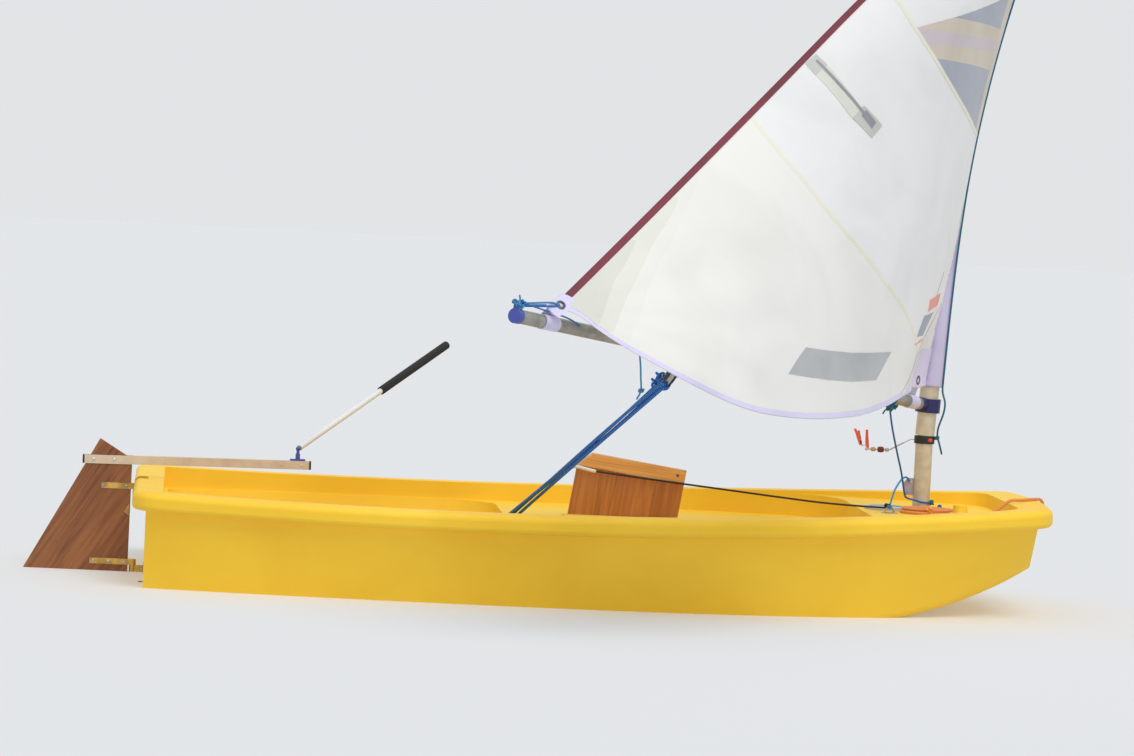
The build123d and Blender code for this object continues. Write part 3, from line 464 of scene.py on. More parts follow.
def knot(name, centre, towards, size, radius):
    # An overhand knot pulled up: a trefoil of rope round the line that it is tied on
    towards = Vector(towards).normalized()
    side = towards.orthogonal().normalized()
    up = towards.cross(side)
    line = []
    for i in range(49):
        a = 2 * pi * i / 48
        x, y, z = sin(a) + 2 * sin(2 * a), cos(a) - 2 * cos(2 * a), -sin(3 * a)
        line.append(Vector(centre) + (side * x + up * y) * size / 3 + towards * z * size * 0.55)
    return tube(name, line[:-1], radius, 8)


def bolt(name, place, facing, radius, height):
    # A domed bolt head on a washer: a short cylinder, its top inset, drawn up and rounded off
    deselectAll()
    lean = Vector(facing).to_track_quat("Z", "Y").to_euler()
    bpy.ops.mesh.primitive_cylinder_add(
        vertices=20, radius=radius, depth=height * 0.4,
        location=Vector(place) + Vector(facing) * height * 0.2, rotation=lean,
    )
    piece = bpy.context.active_object
    piece.name = name
    bpy.ops.object.mode_set(mode="EDIT")
    bpy.ops.mesh.select_mode(type="FACE")
    bpy.ops.mesh.select_all(action="DESELECT")
    bpy.ops.object.mode_set(mode="OBJECT")
    top = max(piece.data.polygons, key=lambda face: face.center.z if len(face.vertices) > 4 else -1)
    top.select = True
    bpy.ops.object.mode_set(mode="EDIT")
    bpy.ops.mesh.inset(thickness=radius * 0.25)
    bpy.ops.mesh.extrude_region_move(TRANSFORM_OT_translate={"value": Vector(facing) * height * 0.35})
    bpy.ops.mesh.inset(thickness=radius * 0.22)
    bpy.ops.transform.translate(value=Vector(facing) * height * 0.2)
    bpy.ops.mesh.inset(thickness=radius * 0.2)
    bpy.ops.transform.translate(value=Vector(facing) * height * 0.05)
    bpy.ops.object.mode_set(mode="OBJECT")
    return piece


def turned(name, profile, place, axis, steps=40):
    # A turned piece: a profile of (radius, height) pairs spun round an axis
    axis = Vector(axis).normalized()
    side = axis.orthogonal().normalized()
    place = Vector(place)
    points = [place + side * r + axis * h for r, h in profile]
    piece = startPiece(name, points, [(i, i + 1) for i in range(len(points) - 1)], [])
    bpy.ops.mesh.spin(steps=steps, angle=2 * pi, center=place, axis=axis)
    bpy.ops.mesh.select_all(action="SELECT")
    bpy.ops.mesh.remove_doubles(threshold=0.00001)
    bpy.ops.mesh.normals_make_consistent(inside=False)
    bpy.ops.object.mode_set(mode="OBJECT")
    return piece


def slab(name, outline, thickness, origin, across, up, bevel=0.0008):
    # A flat plate: its outline in two directions of a plane, drawn out to its thickness, edges eased
    across, up, origin = Vector(across).normalized(), Vector(up).normalized(), Vector(origin)
    through = across.cross(up)
    base = origin - through * thickness / 2
    piece = startPiece(name, [base + across * x + up * y for x, y in outline], [], [tuple(range(len(outline)))])
    bpy.ops.mesh.extrude_region_move(TRANSFORM_OT_translate={"value": through * thickness})
    bpy.ops.mesh.select_all(action="SELECT")
    bpy.ops.mesh.normals_make_consistent(inside=False)
    bpy.ops.object.mode_set(mode="OBJECT")
    if bevel:
        easing = piece.modifiers.new("easing", "BEVEL")
        easing.width = bevel
        easing.segments = 2
        easing.limit_method = "ANGLE"
        bpy.ops.object.modifier_apply(modifier="easing")
    return piece


def rounded(halfWide, halfHigh, corner, steps=6):
    # The outline of a rectangle with round corners
    points = []
    for cx, cy, start in ((1, 1, 0), (-1, 1, 90), (-1, -1, 180), (1, -1, 270)):
        for i in range(steps + 1):
            a = radians(start + 90 * i / steps)
            points.append((cx * (halfWide - corner) + corner * cos(a), cy * (halfHigh - corner) + corner * sin(a)))
    return points


# Ropes that lie free: the painter on the foredeck, the sheet's tail on the sole
sole = {"height": 0.018, "start": -1.18, "fall": 0.052 / 0.978}


def soleHeight(x):
    return sole["height"] - (x - sole["start"]) * sole["fall"]


def coilPoints(centre, floor, rope, start, turns, inside, tilt=0.0):
    # A two-layer coil from its outer turn inwards, then out again on top; 16 points to a turn
    points = []
    total = int(turns * 16)
    outside = inside + (turns / 2) * rope * 1.02
    for i in range(total + 1):
        share = i / total
        fold = 1 - abs(2 * share - 1)
        size = (outside + (inside - outside) * fold) / cos(pi / 16)
        layer = min(max((share - 0.46) / 0.08, 0), 1)
        a = start + 2 * pi * i / 16
        size += 0.0004 * sin(3.1 * a + 1)
        x, y = centre[0] + size * cos(a), centre[1] + size * sin(a)
        points.append((x, y, floor + rope / 2 + layer * rope * 1.02 + (x - centre[0]) * tilt))
    return points


painter = {
    "diameter": 0.008, "length": 1.84, "coil": (0.863, -0.092), "floor": 0.2476, "oval": 1.42, "turns": 5,
    "inside": 0.0275,
    "route": [
        (0.905, -0.138, 0.2518), (0.940, -0.127, 0.2520), (0.978, -0.116, 0.2518), (1.022, -0.106, 0.253),
        (1.058, -0.096, 0.272), (1.080, -0.084, 0.2925), (1.116, -0.060, 0.29096), (1.150, -0.028, 0.29285),
        (1.1873, 0, 0.293), (1.1873, 0, 0.2575),
    ],
}
coilIn = coilPoints(
    painter["coil"], painter["floor"], painter["diameter"], -pi / 2, painter["turns"], painter["inside"]
)
# The route is laid from the eye to the coil, so the coil's turns are walked the other way round
mirrored = [(painter["coil"][0] - (x - painter["coil"][0]) * painter["oval"], y, z) for x, y, z in coilIn]
painterLine = splineLine(painter["route"][::-1] + mirrored)
painterRope = tube("painterRope", painterLine, painter["diameter"] / 2)
finishPiece(painterRope, "hull", "orangeRope")
painterEnd = knot("painterKnot", painterLine[-1] + Vector((0, 0, 0.001)), (0, 1, 0.1), 0.0068, 0.0036)
finishPiece(painterEnd, "hull", "orangeRope")
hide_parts("painter", "painter_coil")

sheetTail = {
    "diameter": 0.008, "length": 1.46, "coil": (-0.540, 0.002), "turns": 5, "inside": 0.0275,
    "route": [
        (-0.316, 0, 0.118), (-0.348, 0.005, 0.108), (-0.376, 0.012, 0.072), (-0.396, 0.020, 0.034),
        (-0.426, 0.030, 0.008), (-0.466, 0.040, 0.0052), (-0.508, 0.0455, 0.005),
    ],
}
tailRoute = [(x, y, soleHeight(x) + lift) for x, y, lift in sheetTail["route"]]
tailCoil = coilPoints(
    sheetTail["coil"], soleHeight(sheetTail["coil"][0]) + 0.0006, sheetTail["diameter"], pi / 2, sheetTail["turns"],
    sheetTail["inside"], -sole["fall"],
)
tailLine = splineLine(tailRoute + tailCoil)
tailRope = tube("sheetTail", tailLine, sheetTail["diameter"] / 2)
finishPiece(tailRope, "hull", "blueRope")
tailEnd = knot("sheetTailKnot", tailLine[-1] + Vector((0, 0, 0.004)), (1, 0, 0.1), 0.008, 0.0038)
finishPiece(tailEnd, "hull", "blueRope")
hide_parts("mainsheet_tail", "mainsheet_coil")


def lengthOf(line):
    return sum((b - a).length for a, b in zip(line, line[1:]))


print("free ropes laid:", round(lengthOf(painterLine), 3), round(lengthOf(tailLine), 3))


# Finishes of the carried-over nodes
nodeFinishes = {
    "hull": "hull", "mast_step": "black", "mast_collar": "black", "hatch_ring": "hatch", "hatch_cover": "hatch",
    "gudgeon_upper": "brass", "gudgeon_lower": "brass", "transom_drain": "black", "bow_eye": "steel",
    "deck_eye": "steel", "block_base": "steel", "rudder_blade": "rudderWood", "pintle_upper": "brass",
    "pintle_lower": "brass", "tiller": "tiller", "tiller_plugs": "black", "extension_base": "blue",
    "extension_stem": "blue", "extension_tube": "whiteTube", "extension_grip": "grip",
    "daggerboard": "boardWood", "cheek_port": "cheekWood", "cheek_starboard": "cheekWood", "mast_foot": "black",
    "mast_lower": "mast", "mast_upper": "mast", "mast_band": "black", "mast_cleat": "cleat", "boom": "boom",
    "boom_jaw": "jaw", "boom_cap": "blue", "boom_bail": "steel", "vane_arm": "steel",
}
for nodeName, finishName in nodeFinishes.items():
    node = nodes[nodeName]
    node.data.materials.clear()
    node.data.materials.append(finishes[finishName])
print("carried-over nodes finished:", len(nodeFinishes))


# The bent mast and the sail's surface
rig = {
    "mastX": 0.863, "heading": -20, "leans": [(0.444, 3.2), (0.72, 3.2), (1.0, 5.4), (1.7, 16.9), (2.14, 16.9)],
    "bearing": 233, "boomRoot": (0.8672, -0.00153, 0.524), "boomAlong": (-0.59742, -0.79280, 0.12066),
    "boomUp": (0.07261, 0.09636, 0.99268), "boomSide": (0.79864, -0.60182, 0),
    "sailOut": 0.028, "camber": 0.13, "cloth": 0.0009,
    "wrap": [(0.6, 0), (1.1, 100), (1.5, 100), (1.9, 60), (2.092, 30)],
    "clew": (1.830, 0.787), "leechMiddle": (1.123, 1.237), "headHeight": 2.092, "headWidth": 0.060,
    "leechOut": [(0.787, 0.0290), (1.0, 0.0190), (1.17, 0.0145), (1.33, 0.0150), (1.53, 0.0245), (1.75, 0.020),
                 (2.092, 0)],
    "tackPull": [(0.028, 0), (0.06, 0.012), (0.09, 0.026), (0.13, 0.041), (0.165, 0.0415), (0.20, 0.038), (0.30, 0.027),
                 (0.40, 0.0125), (0.50, 0)],
    "tackFade": (0.60, 0.82),
}
boomHeading = (cos(radians(rig["bearing"])), sin(radians(rig["bearing"])))
leeSide = (sin(radians(rig["bearing"] - 180)), -cos(radians(rig["bearing"] - 180)))


def mastLean(z):
    # How far the mast has bent away at this height, and its slope there
    drift, lean = 0.0, 0.0
    for (low, lowLean), (high, highLean) in zip(rig["leans"], rig["leans"][1:]):
        top = min(z, high)
        start, end = sin(radians(lowLean)), sin(radians(highLean))
        lean = asin(start + (end - start) * (top - low) / (high - low))
        if highLean == lowLean:
            drift += (top - low) * tan(lean)
        else:
            drift += (high - low) / (end - start) * (cos(radians(lowLean)) - cos(lean))
        if z <= high:
            break
    return drift, lean


def mastPoint(z):
    drift = mastLean(max(z, rig["leans"][0][0]))[0]
    heading = radians(rig["heading"])
    return Vector((rig["mastX"] + drift * cos(heading), drift * sin(heading), z))


def reachOf(point):
    return (point.x - rig["mastX"]) * boomHeading[0] + point.y * boomHeading[1]


headReach = reachOf(mastPoint(rig["headHeight"])) + rig["headWidth"]


def smoothLine(points, perSpan=6):
    # A flat line through its points (reach, height)
    line = []
    for i in range(len(points) - 1):
        p0, p1, p2, p3 = points[max(i - 1, 0)], points[i], points[i + 1], points[min(i + 2, len(points) - 1)]
        for j in range(perSpan):
            t = j / perSpan
            line.append(tuple(
                0.5 * (2 * b + (c - a) * t + (2 * a - 5 * b + 4 * c - d) * t ** 2 + (3 * b - a - 3 * c + d) * t ** 3)
                for a, b, c, d in zip(p0, p1, p2, p3)
            ))
    return line + [tuple(points[-1])]


leechOut = smoothLine(rig["leechOut"], 5)


def leechReach(z):
    clewReach, clewZ = rig["clew"]
    middleReach, middleZ = rig["leechMiddle"]
    first = (middleReach - clewReach) / (middleZ - clewZ)
    second = (headReach - middleReach) / (rig["headHeight"] - middleZ)
    curve = (second - first) / (rig["headHeight"] - clewZ)
    reach = clewReach + first * (z - clewZ) + curve * (z - clewZ) * (z - middleZ)
    for (z1, out1), (z2, out2) in zip(leechOut, leechOut[1:]):
        if z <= z2:
            return reach + out1 + (out2 - out1) * max(z - z1, 0) / (z2 - z1)
    return reach


def section(z):
    # The sail's arc at one height: where it starts, where it ends, and the circle it lies on
    turn = 0.0
    for (low, lowTurn), (high, highTurn) in zip(rig["wrap"], rig["wrap"][1:]):
        if z <= high:
            turn = radians(lowTurn + max(z - low, 0) / (high - low) * (highTurn - lowTurn))
            break
    start, lift = rig["sailOut"] * cos(turn), rig["sailOut"] * sin(turn)
    end = leechReach(z) - reachOf(mastPoint(z))
    middle = (start + end) / 2
    depth = rig["camber"] * (end - start) + lift / 2
    a1, b1, c1 = 2 * (middle - start), 2 * (depth - lift), middle ** 2 + depth ** 2 - start ** 2 - lift ** 2
    a2, b2, c2 = 2 * (end - middle), -2 * depth, end ** 2 - middle ** 2 - depth ** 2
    across = (c1 * b2 - c2 * b1) / (a1 * b2 - a2 * b1)
    out = (a1 * c2 - a2 * c1) / (a1 * b2 - a2 * b1)
    return start, end, across, out, hypot(start - across, lift - out)


def crease(reach, z):
    # Shallow creases that fan from the clew, and a faint crumple all over
    fromClew = hypot(reach - rig["clew"][0], z - rig["clew"][1])
    bearing = atan2(z - rig["clew"][1], rig["clew"][0] - reach)
    near = max(0.0, 1 - abs(fromClew - 0.4) / 0.4)
    fan = 0.0016 * near * sin(bearing * 22)
    crumple = 0.0022 * noise.noise(Vector((reach * 4.5, z * 3.2, 0.7))) + 0.0009 * noise.noise(
        Vector((reach * 12, z * 9, 4.2))
    )
    edge = min(1.0, max(reach - 0.05, 0) / 0.15, max(leechReach(z) - reach, 0) / 0.06 + 0.2)
    return (fan + crumple) * edge


def tackPull(reach, z):
    # How far the tack's webbing draws the foot of the cloth back towards the boom
    low, high = rig["tackFade"]
    share = min(max((high - z) / (high - low), 0), 1)
    for (r1, pull1), (r2, pull2) in zip(rig["tackPull"], rig["tackPull"][1:]):
        if r1 < reach <= r2:
            along = (reach - r1) / (r2 - r1)
            return (pull1 + (pull2 - pull1) * along) * share ** 2 * (3 - 2 * share)
    return 0


def sailSpot(reach, z, lift=0.0):
    # A point of the cloth: reach from the bent mast along the boom, height, and lift towards the lee side
    start, end, across, out, size = section(z)
    belly = out + sqrt(max(size ** 2 - (reach - across) ** 2, 0)) + 0.001 + crease(reach, z) + lift
    belly -= tackPull(reach, z)
    luff = mastPoint(z)
    return Vector((
        luff.x + boomHeading[0] * reach + leeSide[0] * belly,
        luff.y + boomHeading[1] * reach + leeSide[1] * belly,
        z,
    ))


def boomSpot(along, up=0.0, side=0.0):
    return (
        Vector(rig["boomRoot"]) + Vector(rig["boomAlong"]) * along + Vector(rig["boomUp"]) * up
        + Vector(rig["boomSide"]) * side
    )


def tintFaces(piece, names, flat, tints):
    # Gives each face of a piece of cloth one of the named finishes, by its middle (reach, height)
    for name in names:
        piece.data.materials.append(finishes[name])
    for polygon in piece.data.polygons:
        corners = [flat[i % len(flat)] for i in polygon.vertices]
        r, z = (sum(c[k] for c in corners) / len(corners) for k in (0, 1))
        polygon.material_index = names.index(tints(r, z))


def clothFace(name, outline, low, high, cuts=(), cell=0.03, tints=None):
    # A piece of cloth on the sail: its outline (reach, height) is cut into cells and laid on the surface,
    # then closed with a second skin. tints gives a finish for each cell by its middle.
    work = bmesh.new()
    face = work.faces.new([work.verts.new((r, z, 0)) for r, z in outline])
    bmesh.ops.triangulate(work, faces=[face])
    reaches, heights = [p[0] for p in outline], [p[1] for p in outline]
    for axis, values in ((0, reaches), (1, heights)):
        count = ceil((max(values) - min(values)) / cell)
        for i in range(1, count):
            spot, normal = [0, 0, 0], [0, 0, 0]
            spot[axis] = min(values) + (max(values) - min(values)) * i / count
            normal[axis] = 1
            cutThrough(work, spot, normal)
    for (r1, z1), (r2, z2) in cuts:
        cutThrough(work, (r1, z1, 0), (z2 - z1, r1 - r2, 0))
    bmesh.ops.remove_doubles(work, verts=work.verts, dist=0.00002)
    work.verts.index_update()
    flat = [(v.co.x, v.co.y) for v in work.verts]
    faces = [[v.index for v in f.verts] for f in work.faces]
    count = len(flat)
    vertices = [sailSpot(r, z, low) for r, z in flat] + [sailSpot(r, z, high) for r, z in flat]
    shell = [tuple(f[::-1]) for f in faces] + [tuple(i + count for i in f) for f in faces]
    for edge in work.edges:
        if len(edge.link_faces) == 1:
            a, b = edge.verts[0].index, edge.verts[1].index
            shell.append((a, b, b + count, a + count))
    work.free()
    piece = fromMesh(name, vertices, shell, flat + flat)
    outwards(piece)
    if tints:
        tintFaces(piece, insert["finishes"][:3], flat, tints)
    return piece


def clothStrip(name, line, width, low, high):
    # A tape on the sail, along a line (reach, height)
    rows, uvRows = [], []
    for i, (r, z) in enumerate(line):
        (r1, z1), (r2, z2) = line[max(i - 1, 0)], line[min(i + 1, len(line) - 1)]
        size = hypot(r2 - r1, z2 - z1)
        nr, nz = -(z2 - z1) / size * width / 2, (r2 - r1) / size * width / 2
        edges = [(r + nr, z + nz), (r - nr, z - nz)]
        rows.append([sailSpot(*edge, lift) for lift in (low, high) for edge in edges])
        uvRows.append(edges * 2)
    return strapPiece(name, rows, uvRows)


# The sail
sailShape = {
    "foot": [
        (0.028, 0.574), (0.055, 0.573), (0.080, 0.572), (0.120, 0.573), (0.20, 0.575), (0.368, 0.577),
        (0.450, 0.577), (0.525, 0.574), (0.589, 0.566), (0.644, 0.558), (0.695, 0.553), (0.789, 0.544),
        (0.873, 0.538), (0.934, 0.536), (1.073, 0.535), (1.194, 0.539), (1.301, 0.547), (1.397, 0.560), (1.481, 0.581),
        (1.556, 0.608), (1.623, 0.637), (1.683, 0.667), (1.737, 0.696), (1.782, 0.730), (1.815, 0.764),
        (1.838, 0.778), (1.859, 0.787),
    ],
    "rows": 90, "columns": 84, "crowding": 1.15, "rounds": 30, "lilacShadeReach": 0.06, "lilacShadeTop": 0.78,
}
footLine = smoothLine(sailShape["foot"], 4)


def alongTable(table, place):
    # The value at a place in a table of (place, value) pairs, straight between them
    for (start, low), (end, high) in zip(table, table[1:]):
        if place <= end:
            return low + (high - low) * max(place - start, 0) / (end - start)
    return table[-1][1]


def clothAt(reach, z):
    # Lilac-grey by the luff at the tack, lilac cloth with painted shade; a warmer white below the lower seam
    if reach < sailShape["lilacShadeReach"] and z < sailShape["lilacShadeTop"]:
        return "sleeve"
    return "warmCloth" if z < seamHeight(reach) else "cloth"


def makeSail():
    # Rows from the foot to the head, columns from the luff to the leech; two skins a cloth apart
    rows, columns = sailShape["rows"], sailShape["columns"]
    flat = []
    for i in range(rows + 1):
        t = (i / rows) ** sailShape["crowding"]
        for j in range(columns + 1):
            s = j / columns
            z = 0.8
            for _ in range(sailShape["rounds"]):
                start, end = section(z)[:2]
                reach = start + (end - start) * s
                low = alongTable(footLine, reach)
                z = 0.5 * z + 0.5 * (low + (rig["headHeight"] - low) * t)
            start, end = section(z)[:2]
            flat.append((start + (end - start) * s, z))
    count = len(flat)
    skin = rig["cloth"] / 2
    vertices = [sailSpot(r, z, -skin) for r, z in flat] + [sailSpot(r, z, skin) for r, z in flat]
    wide = columns + 1
    faces = []
    for i in range(rows):
        for j in range(columns):
            a = i * wide + j
            faces.append((a, a + 1, a + wide + 1, a + wide))
            faces.append((count + a, count + a + wide, count + a + wide + 1, count + a + 1))
    rim = (
        [j for j in range(wide)] + [i * wide + columns for i in range(1, rows + 1)]
        + [rows * wide + j for j in range(columns - 1, -1, -1)] + [i * wide for i in range(rows - 1, -1, -1)]
    )
    for a, b in zip(rim, rim[1:]):
        faces.append((a, count + a, count + b, b))
    piece = fromMesh("sailBody", vertices, faces, flat + flat)
    outwards(piece)
    tintFaces(piece, ["cloth", "warmCloth", "sleeve"], flat, clothAt)
    area = sum(p.area for p in piece.data.polygons) / 2
    return piece, area


seams = {
    "width": 0.011,
    "lower": [
        (1.135, 1.242), (1.102, 1.167), (1.053, 1.103), (0.976, 1.018), (0.867, 0.936), (0.740, 0.857),
        (0.596, 0.787), (0.546, 0.759), (0.478, 0.725), (0.420, 0.697), (0.386, 0.672), (0.366, 0.656),
    ],
    "tack": [
        (0.080, 0.800), (0.190, 0.758), (0.276, 0.710), (0.330, 0.682), (0.366, 0.656), (0.389, 0.643),
        (0.420, 0.626), (0.455, 0.613), (0.502, 0.598), (0.550, 0.579),
    ],
    "upper": [
        (0.690, 1.585), (0.644, 1.551), (0.622, 1.520), (0.595, 1.485), (0.554, 1.445), (0.485, 1.391),
        (0.424, 1.351), (0.346, 1.311), (0.259, 1.278), (0.158, 1.249), (0.032, 1.228),
    ],
    "head": [(0.555, 1.700), (0.420, 1.712), (0.280, 1.730), (0.140, 1.752), (0.020, 1.772)],
}
lowerSeam = smoothLine(seams["lower"])


def seamHeight(reach):
    for (r1, z1), (r2, z2) in zip(lowerSeam, lowerSeam[1:]):
        if r2 <= reach <= r1:
            return z2 + (z1 - z2) * (reach - r2) / max(r1 - r2, 1e-6)
    return 2.2 if reach > seams["lower"][0][0] else 0.62


clewPanels = [
    [(1.317, 1.115), (1.370, 1.063), (1.491, 0.943), (1.531, 0.913), (1.580, 0.865), (1.637, 0.808), (1.685, 0.758),
     (1.726, 0.720)],
    [(1.415, 1.047), (1.456, 1.005), (1.546, 0.932), (1.589, 0.893), (1.649, 0.840), (1.699, 0.795), (1.755, 0.737)],
    [(1.577, 0.943), (1.641, 0.885), (1.688, 0.850), (1.732, 0.805), (1.771, 0.765), (1.791, 0.747)],
]
skin = rig["cloth"] / 2
layer = 0.0004
sailBody, sailArea = makeSail()
finishPiece(sailBody, "rig", "cloth")


def trim(piece, finish):
    finishPiece(piece, "rig", finish, smooth=False)


def level(number, sign):
    # The low and high lift of the numbered layer of trim, on the lee side (1) or the windward side (-1)
    low = skin + layer * (number - 1) + 0.00005
    return (low, low + layer) if sign > 0 else (-low - layer, -low)


def leechSpots(low, high, count, inset):
    # Points (reach, height) just inside the leech
    heights = [low + (high - low) * i / count for i in range(count + 1)]
    return [(leechReach(z) - reachOf(mastPoint(z)) - inset, z) for z in heights]


# Tapes: name, line, width, layer, finish
sailTapes = [
    ("seamLower", lowerSeam, seams["width"], 1, "cream"),
    ("seamUpper", smoothLine(seams["upper"]), seams["width"], 2, "cream"),
    ("seamHead", smoothLine(seams["head"]), seams["width"], 1, "cream"),
    ("seamTack", smoothLine(seams["tack"]), seams["width"], 4, "cream"),
    ("footTape", [(r, z + 0.0082) for r, z in footLine[:-2]], 0.012, 2, "lilac"),
    ("leechTape", leechSpots(0.812, rig["headHeight"], 40, 0.0052), 0.0095, 6, "maroon"),
    ("batten", smoothLine([(0.912, 1.389), (0.883, 1.353), (0.851, 1.316), (0.800, 1.261)], 8), 0.008, 8, "batten"),
    ("markLine", smoothLine([(0.330, 0.709), (0.458, 0.700)]), 0.006, 1, "salmon"),
    ("markGrey", smoothLine([(0.235, 0.880), (0.262, 0.848), (0.292, 0.814)]), 0.005, 1, "slate"),
]
# Patches: name, outline, layer, size of the cells, finish
sailPatches = [
    ("battenPocket", [(0.940, 1.372), (0.902, 1.400), (0.804, 1.270), (0.845, 1.251)], 4, 0.03, "pocket"),
    ("battenHead", [(0.942, 1.380), (0.906, 1.404), (0.886, 1.380), (0.926, 1.353)], 6, 0.03, "pocketEnd"),
    ("battenFoot", [(0.846, 1.254), (0.801, 1.286), (0.740, 1.240), (0.784, 1.208)], 5, 0.03, "pocketEnd"),
    ("battenTip", [(0.815, 1.262), (0.796, 1.276), (0.765, 1.246), (0.783, 1.231)], 7, 0.03, "batten"),
    ("window", [
        (1.144, 0.705), (1.054, 0.697), (0.931, 0.690), (0.817, 0.688), (0.676, 0.687), (0.723, 0.654),
        (0.772, 0.621), (0.930, 0.621), (1.061, 0.628), (1.153, 0.636), (1.229, 0.644), (1.189, 0.675),
    ], 2, 0.03, "film"),
    ("markRed", [(0.225, 0.825), (0.372, 0.811), (0.367, 0.780), (0.230, 0.794)], 1, 0.012, "salmon"),
    ("markSlate", [(0.265, 0.777), (0.403, 0.771), (0.449, 0.719), (0.348, 0.719)], 1, 0.012, "slate"),
    ("headPatch", [
        (0.035, 1.95), *leechSpots(1.955, rig["headHeight"] - 0.002, 6, 0.012), (0.020, rig["headHeight"] - 0.002),
    ], 4, 0.03, "lilac"),
    ("tackPatch", [
        (0.034, 0.5765), (0.055, 0.5755), (0.080, 0.5745), (0.120, 0.5755), (0.200, 0.5775), (0.368, 0.5795),
        (0.450, 0.5795), (0.525, 0.5775), (0.545, 0.5800), (0.502, 0.598), (0.455, 0.613), (0.420, 0.626),
        (0.389, 0.643), (0.366, 0.656), (0.300, 0.668), (0.200, 0.674), (0.034, 0.674),
    ], 3, 0.03, "lilac"),
]
# Clew reinforcement: panels that run from the leech to the foot, each smaller and on top of the last. Each layer's tone
# is a step darker, painted shade of the thicker cloth
for number, edge in enumerate(clewPanels):
    outline = smoothLine(edge, 3) + [(r, z + 0.0142) for r, z in footLine if r > edge[-1][0] + 0.006][:-6]
    outline += leechSpots(0.800, edge[0][1] - 0.004, 12, 0.0035)
    sailPatches.append(("clewPanel%d" % (number + 1), outline, number + 3, 0.014,
                        ("patchOne", "patchTwo", "patchThree")[number]))
for side, sign in (("Lee", 1), ("Windward", -1)):
    for name, line, width, number, finish in sailTapes:
        trim(clothStrip(name + side, line, width, *level(number, sign)), finish)
    for name, outline, number, cell, finish in sailPatches:
        trim(clothFace(name + side, outline, *level(number, sign), cell=cell), finish)

# The clew's corner: a thick tab that the eyelet goes through
clewCorner = {
    "outline": [
        (1.808, 0.805), (1.817, 0.812), (1.827, 0.817), (1.852, 0.804), (1.868, 0.797), (1.880, 0.789),
        (1.8825, 0.780), (1.879, 0.770), (1.873, 0.766), (1.861, 0.770), (1.848, 0.775), (1.834, 0.786), (1.822, 0.798),
    ],
    "lift": skin + layer * 7, "eyelet": (1.850, 0.790),
}
trim(clothFace("clewCorner", clewCorner["outline"], -clewCorner["lift"], clewCorner["lift"], cell=0.012), "lilac")

# Plain grey-blue, sand and mauve bands by the luff, with a sand strip along the luff
insert = {
    "top": [
        (0.595, 1.485), (0.533, 1.494), (0.474, 1.508), (0.410, 1.522), (0.339, 1.538), (0.270, 1.557),
        (0.194, 1.576), (0.112, 1.595), (0.032, 1.612),
    ],
    "bands": [((0.419, 1.518), (0.177, 1.507)), ((0.514, 1.484), (0.148, 1.470)), ((0.530, 1.446), (0.128, 1.448)),
              ((0.497, 1.414), (0.215, 1.402))],
    "finishes": ["greyBlue", "sand", "mauve", "sand", "greyBlue"], "strip": 0.115,
}


def bandAt(reach, z):
    if reach < insert["strip"]:
        return "sand"
    for finish, ((r1, z1), (r2, z2)) in zip(insert["finishes"], insert["bands"]):
        if z > z1 + (z2 - z1) * (reach - r1) / (r2 - r1):
            return finish
    return insert["finishes"][-1]


insertOutline = smoothLine(insert["top"], 3) + smoothLine(seams["upper"][3:], 4)[::-1]
insertCuts = insert["bands"] + [((insert["strip"], 1.2), (insert["strip"], 1.7))]
for side, sign in (("Lee", 1), ("Windward", -1)):
    trim(clothFace("insert" + side, insertOutline[:-1], *level(1, sign), cuts=insertCuts, tints=bandAt), "sand")


# Luff sleeve: a cloth tube on the mast, lilac where it shows below, white above. The lilac-grey is lilac cloth darkened
# with painted shade
sleeve = {
    "radius": 0.0268, "foot": 0.574, "top": 2.142, "around": 72, "rows": 300,
    "loose": 0.005, "looseTop": 1.1, "front": -35,
    "edge": [(0.574, -0.0215), (0.60, -0.019), (0.81, 0), (0.876, 0.010), (0.957, 0.018), (1.03, 0.029)],
}


